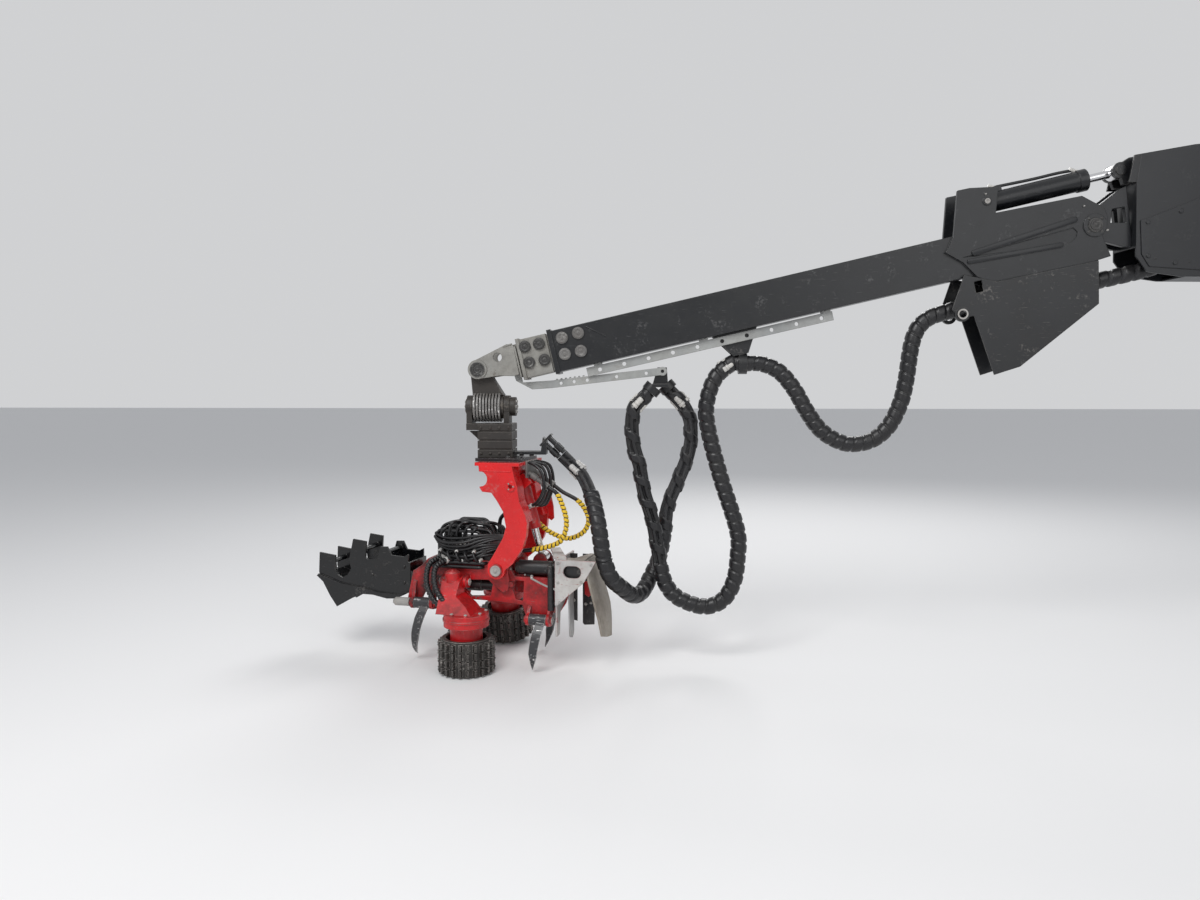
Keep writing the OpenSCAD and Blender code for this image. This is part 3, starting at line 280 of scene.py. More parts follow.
def sweep(name, path, sides, radius, band=None):
    """A closed tube. radius(s, turn) gives its size and band(s, turn) its material."""
    mesh = bpy.data.meshes.new(name)
    work = bmesh.new()
    uv = work.loops.layers.uv.new("UVMap")
    tangents = []
    for i in range(len(path)):
        a, b = path[max(i - 1, 0)], path[min(i + 1, len(path) - 1)]
        tangents.append((b - a).normalized())
    across = tangents[0].orthogonal().normalized()
    rings, s, lengths = [], 0.0, []
    for i, (p, t) in enumerate(zip(path, tangents)):
        if i:
            across = tangents[i - 1].rotation_difference(t) @ across
            across = (across - across.dot(t) * t).normalized()
            s += (p - path[i - 1]).length
        other = t.cross(across)
        ring = []
        for k in range(sides):
            turn = k / sides
            r = radius(s, turn)
            angle = math.tau * turn
            spoke = math.cos(angle) * across + math.sin(angle) * other
            ring.append(work.verts.new(p + r * spoke))
        rings.append(ring)
        lengths.append(s)
    for i in range(len(rings) - 1):
        for k in range(sides):
            n = (k + 1) % sides
            face = work.faces.new((rings[i][k], rings[i][n], rings[i + 1][n], rings[i + 1][k]))
            face.smooth = True
            corners = ((lengths[i], k), (lengths[i], k + 1),
                       (lengths[i + 1], k + 1), (lengths[i + 1], k))
            for loop, (u, v) in zip(face.loops, corners):
                loop[uv].uv = (u, v / sides)
            if band:
                face.material_index = band((lengths[i] + lengths[i + 1]) / 2, (k + 0.5) / sides)
    work.faces.new(list(reversed(rings[0])))
    work.faces.new(rings[-1])
    work.normal_update()
    work.to_mesh(mesh)
    work.free()
    piece = bpy.data.objects.new(name, mesh)
    bpy.context.scene.collection.objects.link(piece)
    return piece


# %% [markdown]
# A winding is a band that covers most of each turn and leaves a narrow gap. Its
# edges ramp over a tenth of the turn, which keeps the steps round as in
# moulded plastic. The sleeve under it is never quite round, because it holds
# several hoses side by side.
# %% Winding and bundle radii
RAMP = 0.1
LUMP_TWIST, STRAND_TWIST = 1.3, 0.25
LIP_WIDTH, LIP_DROP = 0.04, 0.003


def wound(core, height, pitch, cover, lobes=3, swell=0.03):
    def radius(s, turn):
        phase = (s / pitch + turn) % 1
        up = min(phase / RAMP, (cover - phase) / RAMP, 1)
        lump = swell * core * math.cos(math.tau * (lobes * turn + s * LUMP_TWIST))
        return core + lump + height * max(min(up, 1), 0)
    return radius


def stranded(count, out, hose, core, pitch, cover, band_radius):
    """Single hoses set round a core, with an open spiral band over them."""
    def radius(s, turn):
        phase = (s / pitch + turn) % 1
        if phase < cover:
            return band_radius - LIP_DROP * (phase < LIP_WIDTH or phase > cover - LIP_WIDTH)
        angle = math.tau * (((turn + STRAND_TWIST * s) * count) % 1 - 0.5) / count
        inside = hose * hose - (out * math.sin(angle)) ** 2
        return max(core, out * math.cos(angle) + math.sqrt(inside)) if inside > 0 else core
    return radius


def parted(first, second, limit):
    """One rule up to a length along the bundle, another after it."""
    return lambda s, turn: (first if s < limit else second)(s, turn)


def wound_band(pitch, cover, edge=0.05):
    """Material 0 on the band itself, and 1 in the gap beside it."""
    def band(s, turn):
        phase = (s / pitch + turn) % 1
        return 0 if edge < phase < cover - edge else 1
    return band


def two_part(first, second, limit):
    """Two looks along one bundle, each a rule for the radius and its winding."""
    return dict(radius=parted(first[0], second[0], limit),
                band=parted(wound_band(*first[1]), wound_band(*second[1]), limit))


ROUTES = {
    "hose_knuckle": [
        (-3880, 0, -520), (-4030, 0, -572), (-4275, 0, -630), (-4450, 0, -676),
        (-4650, 0, -712), (-4820, 0, -725), (-4960, 0, -742), (-5110, 0, -797)],
    "hose_main": [
        (-5110, 0, -797), (-5260, 0, -852), (-5335, 0, -965), (-5370, 0, -1215),
        (-5400, 0, -1350), (-5465, 0, -1485), (-5560, 0, -1570), (-5680, 0, -1597),
        (-5780, 0, -1573), (-5880, 0, -1504), (-5965, 0, -1386), (-6035, 0, -1265),
        (-6125, 0, -1160), (-6235, 0, -1112), (-6345, 0, -1112)],
    "hose_loop": [
        (-6345, 0, -1112), (-6410, 0, -1112), (-6510, -20, -1200), (-6560, -40, -1350),
        (-6550, -45, -1500), (-6470, -50, -1810), (-6370, -60, -2125), (-6365, -60, -2280),
        (-6385, -60, -2425), (-6445, -60, -2538), (-6540, -60, -2587), (-6650, -60, -2572),
        (-6760, -60, -2511), (-6822, -60, -2400), (-6855, -60, -2205), (-6885, -60, -2050),
        (-6935, -60, -1890), (-6965, -60, -1735), (-7005, -60, -1577), (-6998, -60, -1394),
        (-6905, -60, -1284)],
    "hose_head": [
        (-6780, 60, -1272), (-6690, 60, -1375), (-6650, 60, -1500), (-6672, 60, -1686),
        (-6780, 60, -1970), (-6800, 60, -2080), (-6838, 50, -2300), (-6895, 22, -2432),
        (-6945, -60, -2505), (-6998, -150, -2505), (-7065, -235, -2440), (-7127, -285, -2370),
        (-7170, -295, -2250), (-7203, -280, -2055), (-7245, -180, -1910), (-7305, -60, -1797),
        (-7378, 0, -1730), (-7440, 0, -1670)],
}
# The two hoses round the tilt joint are listed from the head's own turned axes
WRAPS = {
    "wrapped_hose_1": [
        (447.9, -60, -709), (505, -60, -749), (548, -64, -842), (566, -72, -918),
        (556, -80, -985), (524, -86, -1036), (447, -92, -1068), (340, -97, -1090),
        (225, -97, -1100), (140.4, -97, -1100)],
    "wrapped_hose_2": [
        (447.9, 60, -709), (505, 60, -749), (600, 62, -800), (652, 68, -868), (664, 74, -933),
        (625, 80, -1001), (536, 82, -1040), (437, 80, -1015), (357, 78, -964), (297, 76, -909),
        (215, 76, -880), (140, 82, -890), (92, 92, -925), (78, 97, -965), (78, 97, -999.6)],
}
for name, points in WRAPS.items():
    ROUTES[name] = [tuple(on_head(*q) * 1000) for q in points]
print(len(ROUTES), "routes")

# %% [markdown]
# ## Materials
# Every painted piece of a working machine shows the same things: paint that has
# gone uneven, edges rubbed to bare steel, scratches along the plate, and oily
# dirt in patches, more of it on the faces that look up. One node group holds that
# effect, and each paint sets its own colours and amounts. The edge is found by a
# Bevel node: where the rounded normal leaves the flat one, paint is gone first.
# %% Node helpers
def group_of(name, inputs, outputs):
    tree = bpy.data.node_groups.new(name, "ShaderNodeTree")
    for label, kind, value in inputs:
        socket = tree.interface.new_socket(label, in_out="INPUT", socket_type="NodeSocket" + kind)
        socket.default_value = value
    for label, kind in outputs:
        tree.interface.new_socket(label, in_out="OUTPUT", socket_type="NodeSocket" + kind)
    return tree, tree.nodes.new("NodeGroupInput"), tree.nodes.new("NodeGroupOutput")


def node(tree, kind, **settings):
    made = tree.nodes.new("ShaderNode" + kind)
    for key, value in settings.items():
        setattr(made, key, value)
    return made


def feed(tree, target, value):
    if isinstance(value, bpy.types.NodeSocket):
        tree.links.new(value, target)
    else:
        target.default_value = value


def calc(tree, operation, a, b=0.0, c=0.0, clamp=False):
    made = node(tree, "Math", operation=operation, use_clamp=clamp)
    for socket, value in zip(made.inputs, (a, b, c)):
        feed(tree, socket, value)
    return made.outputs[0]


def times(tree, a, b, clamp=False):
    return calc(tree, "MULTIPLY", a, b, clamp=clamp)


def blend_color(tree, factor, a, b, mode="MIX"):
    made = node(tree, "Mix", data_type="RGBA", blend_type=mode)
    feed(tree, made.inputs[0], factor)
    feed(tree, made.inputs[6], a)
    feed(tree, made.inputs[7], b)
    return made.outputs[2]


def noise(tree, place, scale, detail=4.0, roughness=0.6, stretch=None):
    if stretch:
        turn = node(tree, "Mapping")
        turn.inputs["Scale"].default_value = stretch
        feed(tree, turn.inputs["Vector"], place)
        place = turn.outputs[0]
    made = node(tree, "TexNoise")
    feed(tree, made.inputs["Vector"], place)
    made.inputs["Scale"].default_value = scale
    made.inputs["Detail"].default_value = detail
    made.inputs["Roughness"].default_value = roughness
    return made.outputs["Fac"]


def steps(tree, value, low, high):
    made = node(tree, "MapRange", clamp=True)
    feed(tree, made.inputs["Value"], value)
    made.inputs["From Min"].default_value = low
    made.inputs["From Max"].default_value = high
    return made.outputs[0]


def rgb(value):
    return (*value, 1.0)


def new_material(name):
    material = bpy.data.materials.new(name)
    material.use_nodes = True
    tree = material.node_tree
    return material, tree, tree.nodes["Principled BSDF"]


def plug(tree, effect, shader):
    """Each result of a group goes to the shader's socket of the same kind."""
    for result in effect.outputs:
        target = "Base Color" if result.name == "Color" else result.name
        tree.links.new(result, shader.inputs[target])


# %% Worn paint group
worn_paint, g_in, g_out = group_of(
    "Worn paint",
    [("Paint", "Color", rgb((0.5, 0.02, 0.03))), ("Bare", "Color", rgb((0.3, 0.28, 0.26))),
     ("Dirt", "Color", rgb((0.07, 0.05, 0.035))), ("Wear", "Float", 0.5),
     ("Grime", "Float", 0.5), ("Gloss", "Float", 0.4)],
    [("Color", "Color"), ("Roughness", "Float"), ("Metallic", "Float"), ("Normal", "Vector")])
tree = worn_paint
where = node(tree, "TexCoord")
spot = where.outputs["Object"]
round_edge = node(tree, "Bevel", samples=6)
round_edge.inputs["Radius"].default_value = 0.006
flat = node(tree, "NewGeometry")
dot = node(tree, "VectorMath", operation="DOT_PRODUCT")
tree.links.new(round_edge.outputs[0], dot.inputs[0])
tree.links.new(flat.outputs["Normal"], dot.inputs[1])
edge = steps(tree, calc(tree, "SUBTRACT", 1.0, dot.outputs["Value"]), 0.01, 0.2)
patches = noise(tree, spot, 9.0, 8.0, 0.7)
chips = noise(tree, spot, 60.0, 4.0, 0.6)
scratch = noise(tree, spot, 14.0, 3.0, 0.5, stretch=(1.0, 8.0, 14.0))
broken = times(tree, edge, steps(tree, patches, 0.35, 0.6))
scraped = steps(tree, scratch, 0.66, 0.72)
flaked = times(tree, steps(tree, patches, 0.56, 0.66), steps(tree, chips, 0.5, 0.56))
marks = calc(tree, "MAXIMUM", times(tree, scraped, 0.7), flaked)
rubbed = calc(tree, "ADD", times(tree, broken, 1.2), marks)
bare = times(tree, rubbed, g_in.outputs["Wear"], clamp=True)
tone = steps(tree, noise(tree, spot, 3.0, 6.0), 0.3, 0.7)
shade = blend_color(tree, tone, rgb((0.78, 0.78, 0.8)), rgb((1.1, 1.08, 1.05)))
paint = blend_color(tree, 1.0, g_in.outputs["Paint"], shade, "MULTIPLY")
colour = blend_color(tree, bare, paint, g_in.outputs["Bare"])
split = node(tree, "SeparateXYZ")
tree.links.new(where.outputs["Normal"], split.inputs[0])
upward = steps(tree, split.outputs["Z"], -0.4, 0.9)
stains = noise(tree, spot, 5.0, 9.0, 0.75)
lying = calc(tree, "MULTIPLY_ADD", upward, 0.5, 0.5)
soot = times(tree, steps(tree, stains, 0.42, 0.66), lying)
dirty = times(tree, soot, g_in.outputs["Grime"], clamp=True)
colour = blend_color(tree, dirty, colour, g_in.outputs["Dirt"])
rough = calc(tree, "ADD", g_in.outputs["Gloss"], times(tree, dirty, 0.35))
rough = calc(tree, "ADD", rough, times(tree, patches, 0.12), clamp=True)
clean = calc(tree, "SUBTRACT", 1.0, dirty)
metal = times(tree, times(tree, bare, 0.7), clean, clamp=True)
bump = node(tree, "Bump")
bump.inputs["Strength"].default_value = 0.25
bump.inputs["Distance"].default_value = 0.002
height = calc(tree, "SUBTRACT", times(tree, patches, 0.6), bare)
tree.links.new(height, bump.inputs["Height"])
tree.links.new(round_edge.outputs[0], bump.inputs["Normal"])
tree.links.new(colour, g_out.inputs["Color"])
tree.links.new(rough, g_out.inputs["Roughness"])
tree.links.new(metal, g_out.inputs["Metallic"])
tree.links.new(bump.outputs[0], g_out.inputs["Normal"])
print(worn_paint.name, len(worn_paint.nodes), "nodes")


# %% Paints
def painted(name, paint, bare=(0.3, 0.28, 0.26), dirt=(0.07, 0.05, 0.035), wear=0.5, grime=0.5,
            gloss=0.35, above=None):
    material, tree, shader = new_material(name)
    effect = node(tree, "Group", node_tree=worn_paint)
    for label, value in (("Paint", rgb(paint)), ("Bare", rgb(bare)), ("Dirt", rgb(dirt)),
                         ("Wear", wear), ("Grime", grime), ("Gloss", gloss)):
        effect.inputs[label].default_value = value
    if above:
        high = node(tree, "SeparateXYZ")
        tree.links.new(node(tree, "TexCoord").outputs["Object"], high.inputs[0])
        top = steps(tree, high.outputs["Z"], above[0], above[0] + 0.001)
        tree.links.new(blend_color(tree, top, rgb(paint), rgb(above[1])), effect.inputs["Paint"])
    plug(tree, effect, shader)
    return material


FINISH = {}
# The arch is red up to its flange, which is black
ARCH_FLANGE = 0.5538


def add_paint(slot, *colours, name=None, **look):
    FINISH[slot] = painted(name or slot.replace("_", " "), *colours, **look)


add_paint("boom_black", (0.0085, 0.0095, 0.012), bare=(0.09, 0.09, 0.09), wear=0.2, grime=0.2,
          dirt=(0.022, 0.022, 0.021), gloss=0.26)
add_paint("jib_black", (0.0075, 0.0085, 0.0105), bare=(0.13, 0.13, 0.13), wear=0.5, grime=0.3,
          dirt=(0.024, 0.023, 0.021), gloss=0.26)
add_paint("worn_grey", (0.3, 0.295, 0.27), bare=(0.16, 0.14, 0.12), wear=0.8, grime=0.75,
          dirt=(0.07, 0.06, 0.05), gloss=0.5)
add_paint("rail_grey", (0.36, 0.37, 0.36), wear=0.5, grime=0.4, gloss=0.45)
add_paint("pin_steel", (0.42, 0.41, 0.39), bare=(0.6, 0.58, 0.55), wear=0.7, grime=0.5,
          dirt=(0.09, 0.07, 0.055), gloss=0.32)
add_paint("bracket_black", (0.008, 0.009, 0.011), wear=0.4, grime=0.3, dirt=(0.03, 0.027, 0.023),
          gloss=0.27)
add_paint("dark_cast", (0.026, 0.022, 0.019), bare=(0.17, 0.15, 0.13), wear=0.8, grime=0.8,
          dirt=(0.03, 0.022, 0.016), gloss=0.42, name="dark casting")
add_paint("disc_steel", (0.16, 0.15, 0.14), bare=(0.75, 0.74, 0.72), wear=1.0, grime=0.6,
          dirt=(0.04, 0.03, 0.025), gloss=0.3)
add_paint("arch_red", (0.72, 0.012, 0.014), bare=(0.42, 0.36, 0.33), wear=0.3, grime=0.16,
          dirt=(0.12, 0.012, 0.01), gloss=0.2, above=(TIP.z - ARCH_FLANGE, (0.012, 0.012, 0.014)))
add_paint("frame_red", (0.6, 0.01, 0.014), bare=(0.36, 0.33, 0.31), wear=0.8, grime=0.85,
          dirt=(0.03, 0.014, 0.011), gloss=0.27)
add_paint("valve_black", (0.012, 0.012, 0.014), wear=0.5, grime=0.5, dirt=(0.035, 0.028, 0.022),
          gloss=0.32)
add_paint("plate_grey", (0.56, 0.55, 0.53), bare=(0.34, 0.012, 0.02), wear=0.9, grime=0.55,
          dirt=(0.16, 0.11, 0.09), gloss=0.36)
add_paint("cover_grey", (0.3, 0.265, 0.22), bare=(0.42, 0.4, 0.37), wear=0.7, grime=0.8,
          dirt=(0.1, 0.075, 0.055), gloss=0.45)
add_paint("guard_black", (0.004, 0.0045, 0.0055), bare=(0.16, 0.15, 0.14), wear=0.5, grime=0.2,
          dirt=(0.02, 0.017, 0.014), gloss=0.1)
add_paint("roller_steel", (0.035, 0.031, 0.027), bare=(0.42, 0.39, 0.36), wear=1.3, grime=0.7,
          dirt=(0.018, 0.013, 0.01), gloss=0.42)
add_paint("knife_steel", (0.045, 0.046, 0.05), bare=(0.78, 0.77, 0.76), wear=2.2, grime=0.35,
          dirt=(0.03, 0.025, 0.022), gloss=0.27)
add_paint("bar_steel", (0.42, 0.42, 0.42), wear=0.8, grime=0.4, gloss=0.3)
print(len(FINISH), "paints")

# %% [markdown]
# Ground chrome has no paint to lose, so a plain metal with a little oil haze
# does. The sleeves are woven nylon: two crossing waves along the sleeve's own
# UV map raise the threads, and dust settles on the upper side.
# %% Chrome
FINISH["rod_chrome"], tree, shader = new_material("rod chrome")
shader.inputs["Base Color"].default_value = rgb((0.72, 0.72, 0.73))
shader.inputs["Metallic"].default_value = 1.0
haze = node(tree, "TexCoord")
film = steps(tree, noise(tree, haze.outputs["Object"], 7.0, 6.0), 0.35, 0.7)
tree.links.new(calc(tree, "MULTIPLY_ADD", film, 0.22, 0.1), shader.inputs["Roughness"])
print(len(FINISH), "finishes with the chrome")

# %% Woven sleeve group
weave, g_in, g_out = group_of(
    "Woven sleeve",
    [("Thread", "Color", rgb((0.02, 0.02, 0.022))), ("Dust", "Color", rgb((0.12, 0.11, 0.1))),
     ("Threads", "Float", 180.0), ("Dusty", "Float", 0.4)],
    [("Color", "Color"), ("Roughness", "Float"), ("Normal", "Vector")])
where = node(weave, "TexCoord")
spread = node(weave, "Mapping")
spread.inputs["Scale"].default_value = (1.0, 0.3, 1.0)
weave.links.new(where.outputs["UV"], spread.inputs["Vector"])
ribs = []
for direction in ("DIAGONAL", "X"):
    wave = node(weave, "TexWave", bands_direction=direction)
    weave.links.new(spread.outputs[0], wave.inputs["Vector"])
    weave.links.new(g_in.outputs["Threads"], wave.inputs["Scale"])
    ribs.append(wave.outputs["Fac"])
cloth = times(weave, ribs[0], ribs[1])
split = node(weave, "SeparateXYZ")
weave.links.new(where.outputs["Normal"], split.inputs[0])
patchy = steps(weave, noise(weave, where.outputs["Object"], 12.0, 7.0, 0.7), 0.4, 0.7)
settled = times(weave, patchy, steps(weave, split.outputs["Z"], -0.2, 1.0))
dusty = times(weave, settled, g_in.outputs["Dusty"], clamp=True)
threads = blend_color(weave, cloth, g_in.outputs["Thread"], rgb((0.045, 0.045, 0.048)))
weave.links.new(blend_color(weave, dusty, threads, g_in.outputs["Dust"]), g_out.inputs["Color"])
weave.links.new(calc(weave, "MULTIPLY_ADD", cloth, -0.15, 0.62), g_out.inputs["Roughness"])
bump = node(weave, "Bump")
bump.inputs["Strength"].default_value = 0.35
bump.inputs["Distance"].default_value = 0.001
weave.links.new(cloth, bump.inputs["Height"])
weave.links.new(bump.outputs[0], g_out.inputs["Normal"])
print(weave.name, len(weave.nodes), "nodes")

# %% Sleeve, winding and ferrule
sleeve, tree, shader = new_material("black sleeve")
effect = node(tree, "Group", node_tree=weave)
for label, value in (("Thread", rgb((0.014, 0.014, 0.016))), ("Dusty", 0.4), ("Threads", 180.0)):
    effect.inputs[label].default_value = value
plug(tree, effect, shader)
rubber = painted("hose rubber", (0.008, 0.008, 0.0095), bare=(0.05, 0.05, 0.05), wear=0.3,
                 grime=0.3, dirt=(0.035, 0.032, 0.028), gloss=0.25)
winding = painted("black winding", (0.0085, 0.0085, 0.0105), bare=(0.045, 0.045, 0.048),
                  wear=0.35, grime=0.3, dirt=(0.035, 0.033, 0.03), gloss=0.26)
yellow = painted("yellow winding", (0.9, 0.6, 0.025), bare=(0.55, 0.38, 0.05), wear=0.3, grime=0.2,
                 dirt=(0.25, 0.15, 0.03), gloss=0.3)
ferrule = painted("bright ferrule", (0.62, 0.61, 0.58), bare=(0.4, 0.38, 0.35), wear=0.4,
                  grime=0.3, gloss=0.26)
FINISH.update(hose_black=sleeve, hose_rubber=rubber, wrap_yellow=yellow)
print(len(FINISH), "finishes with the hoses")

# %% [markdown]
# A few solids look unlike the rest of their kind: the big pins are oily, the
# arch's pipes are dull, and the head's frame carries the most dark blotches of the red pieces.
# %% Finishes of the solids
add_paint("oily_steel", (0.035, 0.034, 0.033), bare=(0.4, 0.39, 0.37), wear=0.7, grime=0.5,
          dirt=(0.02, 0.016, 0.013), gloss=0.3)
add_paint("dull_steel", (0.17, 0.165, 0.16), bare=(0.45, 0.44, 0.42), wear=0.8, grime=0.6,
          dirt=(0.05, 0.04, 0.03), gloss=0.34)
# The head frame's red takes near-black blotches over far more of it than the other reds do
add_paint("blotched_red", (0.55, 0.01, 0.014), bare=(0.3, 0.28, 0.27), wear=0.8, grime=1.5,
          dirt=(0.016, 0.011, 0.01), gloss=0.27)
OWN_FINISH = {"knuckle_pin": "oily_steel", "tip_pin": "oily_steel", "arch_hoses": "dull_steel",
              "head_frame": "blotched_red"}
for name, piece in frame["nodes"].items():
    wanted = next(s["material_slot"] for s in frame["record"]["subparts"] if s["node"] == name)
    piece.data.materials.clear()
    piece.data.materials.append(FINISH[OWN_FINISH.get(name, wanted)])
print(len(FINISH), "finishes on", len(frame["nodes"]), "solids")

# %% [markdown]
# Each bundle is swept with its winding, takes the cloth on the core and the
# plastic on the band, and follows the joint that it crosses. The bundle to the
# rotator crosses two joints, so it is made as two lengths that meet where both
# follow the link.
# %% Make the bundles
def bundle(name, route, node_name, sides, radius, band, materials, diameter, joint=None,
           body=None):
    piece = sweep(name, route, sides, radius, band)
    for material in materials:
        piece.data.materials.append(material)
    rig.replaces(piece, node_name)
    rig.slot(piece, "wrap_yellow" if "wrapped" in name else "hose_black")
    length = sum((b - a).length for a, b in zip(route, route[1:]))
    if joint:
        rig.blend(piece, joint[0], joint[1], start=joint[2], end=joint[3])
    else:
        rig.ride(piece, body)
    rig.cord(piece, exit=route[0], length=length, diameter=diameter, far_end="object",
            stiffness="stiff", lay="hanging", path=route)
    print(name, round(length, 3), "m")


# Each winding's pitch in metres, and the part of a turn that its band covers
HEAVY, DENSE, RINGED, YELLOW = (0.075, 0.78), (0.062, 0.84), (0.058, 0.88), (0.026, 0.84)
OPEN, THIN = (0.14, 0.4), (0.3, 0.05)
STEP, RINGED_STEP, YELLOW_STEP = 0.0045, 0.0035, 0.0026
THICK, CORE, RUBBER_RADIUS = 0.096, 0.043, 0.0125
# Single hoses show past the first two of these lengths, and up to the third
LOOP_OPENS, HEAD_OPENS, START_ENDS = 2.15, 0.42, 0.9
HEAD_SHARE = 0.7
# From where to where each yellow winding reaches along its hose
YELLOW_SPAN = {"1": (0.07, 0.56), "2": (0.17, 0.76)}

paths = {name: eased(points, STEP) for name, points in ROUTES.items()}
heavy = dict(sides=24, radius=wound(CORE, 0.006, *HEAVY), band=wound_band(*HEAVY),
             materials=[winding, sleeve], diameter=THICK)
strands = stranded(5, 0.03, 0.0135, 0.02, *OPEN, 0.0478), OPEN
dense = wound(CORE, 0.0065, *DENSE), DENSE
thin = stranded(5, 0.0295, RUBBER_RADIUS, 0.012, *THIN, 0.044), THIN
loose = dict(heavy, sides=60, materials=[winding, rubber],
             **two_part(dense, strands, LOOP_OPENS))
early = dict(heavy, sides=60, **two_part(strands, dense, START_ENDS))
final = dict(heavy, sides=60, **two_part(dense, thin, HEAD_OPENS))
ringed = dict(sides=28, radius=wound(0.0435, 0.0055, *RINGED, 3, 0.02),
              band=wound_band(*RINGED), materials=[winding, rubber], diameter=THICK)
light = dict(sides=20, radius=wound(0.0105, 0.0055, *YELLOW, 2, 0.0),
             band=wound_band(*YELLOW), materials=[yellow, rubber], diameter=0.032)
knuckle, head = paths["hose_knuckle"], paths["hose_head"]
bundle("hose_knuckle_sleeve", knuckle, "hose_knuckle", **heavy,
       joint=("main_boom", "jib", knuckle[20], knuckle[-20]))
bundle("hose_main_sleeve", eased(ROUTES["hose_main"], RINGED_STEP), "hose_main", **ringed,
       body="jib")
bundle("hose_loop_sleeve", paths["hose_loop"], "hose_loop", **loose,
       joint=("jib", "extension_2", mm(-6420, 0, -1500), mm(-6900, 0, -1500)))
cut = int(len(head) * HEAD_SHARE)
bundle("hose_head_sleeve", head[:cut + 1], "hose_head", **early,
       joint=("extension_2", "tip_link", mm(-6790, 0, -1400), mm(-7000, 0, -2450)))
bundle("hose_head_sleeve_end", head[cut:], "hose_head", **final,
       joint=("tip_link", "rotator", head[cut + 6], head[-6]))
for side, (low, high) in YELLOW_SPAN.items():
    name = "wrapped_hose_" + side
    fine = eased(ROUTES[name], YELLOW_STEP)
    rounded, no_band = lambda s, turn: RUBBER_RADIUS, lambda s, turn: 1
    radius = parted(parted(rounded, light["radius"], low), rounded, high)
    band = parted(parted(no_band, light["band"], low), no_band, high)
    bundle("yellow_" + name, fine, name, **dict(light, radius=radius, band=band),
           joint=("arch", "head", fine[30], fine[-30]))

# %% [markdown]
# ## Fittings
# Bolts, caps, ferrules and pins are turned pieces: a filled ring is drawn out
# ring by ring in edit mode, each ring scaled to the profile, and a bevel rounds
# what is sharp. Each kind is made once at its own size, then copied to every
# place where the machine has one, and the copies that move together are joined.
# %% Turned masters
SHARP, SMOOTH = math.radians(30), math.radians(40)
QUARTER = 1.57


def start_edit():
    bpy.ops.object.mode_set(mode="EDIT")
    bpy.ops.mesh.select_all(action="SELECT")


def end_edit():
    bpy.ops.mesh.select_all(action="SELECT")
    bpy.ops.mesh.normals_make_consistent(inside=False)
    bpy.ops.object.mode_set(mode="OBJECT")


def turned(name, profile, sides=24, bevel=0.0008):
    """A round piece from (height, radius) pairs in millimetres."""
    z, r = profile[0]
    bpy.ops.mesh.primitive_circle_add(vertices=sides, radius=r / 1000, fill_type="NGON",
                                      location=(0, 0, z / 1000))
    piece = bpy.context.object
    piece.name = name
    bpy.ops.object.transform_apply(location=True)
    start_edit()
    for high, wide in profile[1:]:
        rise = (0, 0, (high - z) / 1000)
        bpy.ops.mesh.extrude_region_move(TRANSFORM_OT_translate={"value": rise})
        bpy.ops.transform.resize(value=(wide / r, wide / r, 1))
        z, r = high, wide
    end_edit()
    return finished(piece, bevel)


def finished(piece, bevel):
    rounding = piece.modifiers.new("round", "BEVEL")
    rounding.width = bevel
    rounding.segments = 2
    rounding.limit_method = "ANGLE"
    rounding.angle_limit = SHARP
    bpy.ops.object.modifier_apply(modifier="round")
    bpy.ops.object.shade_smooth_by_angle(angle=SMOOTH)
    return piece


SLOT_OF = {"oily_steel": "pin_steel", "dull_steel": "pin_steel", "blotched_red": "frame_red"}


def dress(piece, finish, body):
    piece.data.materials.clear()
    piece.data.materials.append(FINISH[finish] if isinstance(finish, str) else finish)
    if body:
        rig.ride(piece, body)
        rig.slot(piece, SLOT_OF.get(finish, finish) if isinstance(finish, str) else "pin_steel")
    return piece


def copies(name, master, spots, finish, body):
    """Copies of a master, each (place, direction) or (place, direction, scale), joined."""
    made = []
    for place, direction, *scale in spots:
        part = master.copy()
        part.data = master.data.copy()
        turn = Vector(direction).to_track_quat("Z", "Y").to_matrix().to_4x4()
        size = Matrix.Scale(scale[0], 4) if scale else Matrix.Identity(4)
        part.data.transform(Matrix.Translation(place) @ turn @ size)
        bpy.context.scene.collection.objects.link(part)
        made.append(part)
    bpy.ops.object.select_all(action="DESELECT")
    for part in made:
        part.select_set(True)
    bpy.context.view_layer.objects.active = made[0]
    if len(made) > 1:
        bpy.ops.object.join()
    made[0].name = name
    dress(made[0], finish, body)


def head_way(x, y, z):
    return on_head(x, y, z) - on_head(0, 0, 0)


def jib_way(x, y, z):
    return on_jib(x, y, z) - on_jib(0, 0, 0)


def both(place, spots, y, scale=1.0):
    """The same (x, z) spots on the near and the far face, pointing outward."""
    return [(place(x, s * y, z), place(0, s, 0) - place(0, 0, 0), scale)
            for x, z in spots for s in SIDES]


def quarters(x, radius, first):
    """Four spots round (x, 0), a quarter turn apart."""
    return [(x + radius * math.cos(a), radius * math.sin(a))
            for a in (first + QUARTER * k for k in range(4))]


bolt = turned("bolt master", [(-2, 14), (1.5, 14), (1.6, 10), (8, 10), (9, 8.5)], 6)
screw = turned("screw master", [(-1, 9), (6, 9), (6.01, 5), (2.5, 4.6)], 20)
dome = turned("dome master", [(-1, 34), (4, 34), (5, 30), (8, 28), (9, 21), (6, 20), (6.1, 9),
                              (9, 8)], 32)
washer_cap = turned("cap master", [(-1, 30), (5, 30), (5.01, 22), (3.5, 21), (3.6, 9),
                                   (10, 8)], 32)
crimp = turned("ferrule master", [(-26, 10.5), (-22, 13), (-6, 13.4), (-5, 12.2), (-2, 12.2),
                                  (-1, 13.4), (10, 13), (12, 10), (12.1, 15), (26, 15),
                                  (26.1, 9), (36, 9)], 20, 0.0006)
nipple = turned("nipple master", [(-1, 5.5), (5, 5.5), (5.1, 3.4), (10, 3.4), (11, 4.4),
                                  (13, 3)], 8, 0.0004)
masters = [bolt, screw, dome, washer_cap, crimp, nipple]
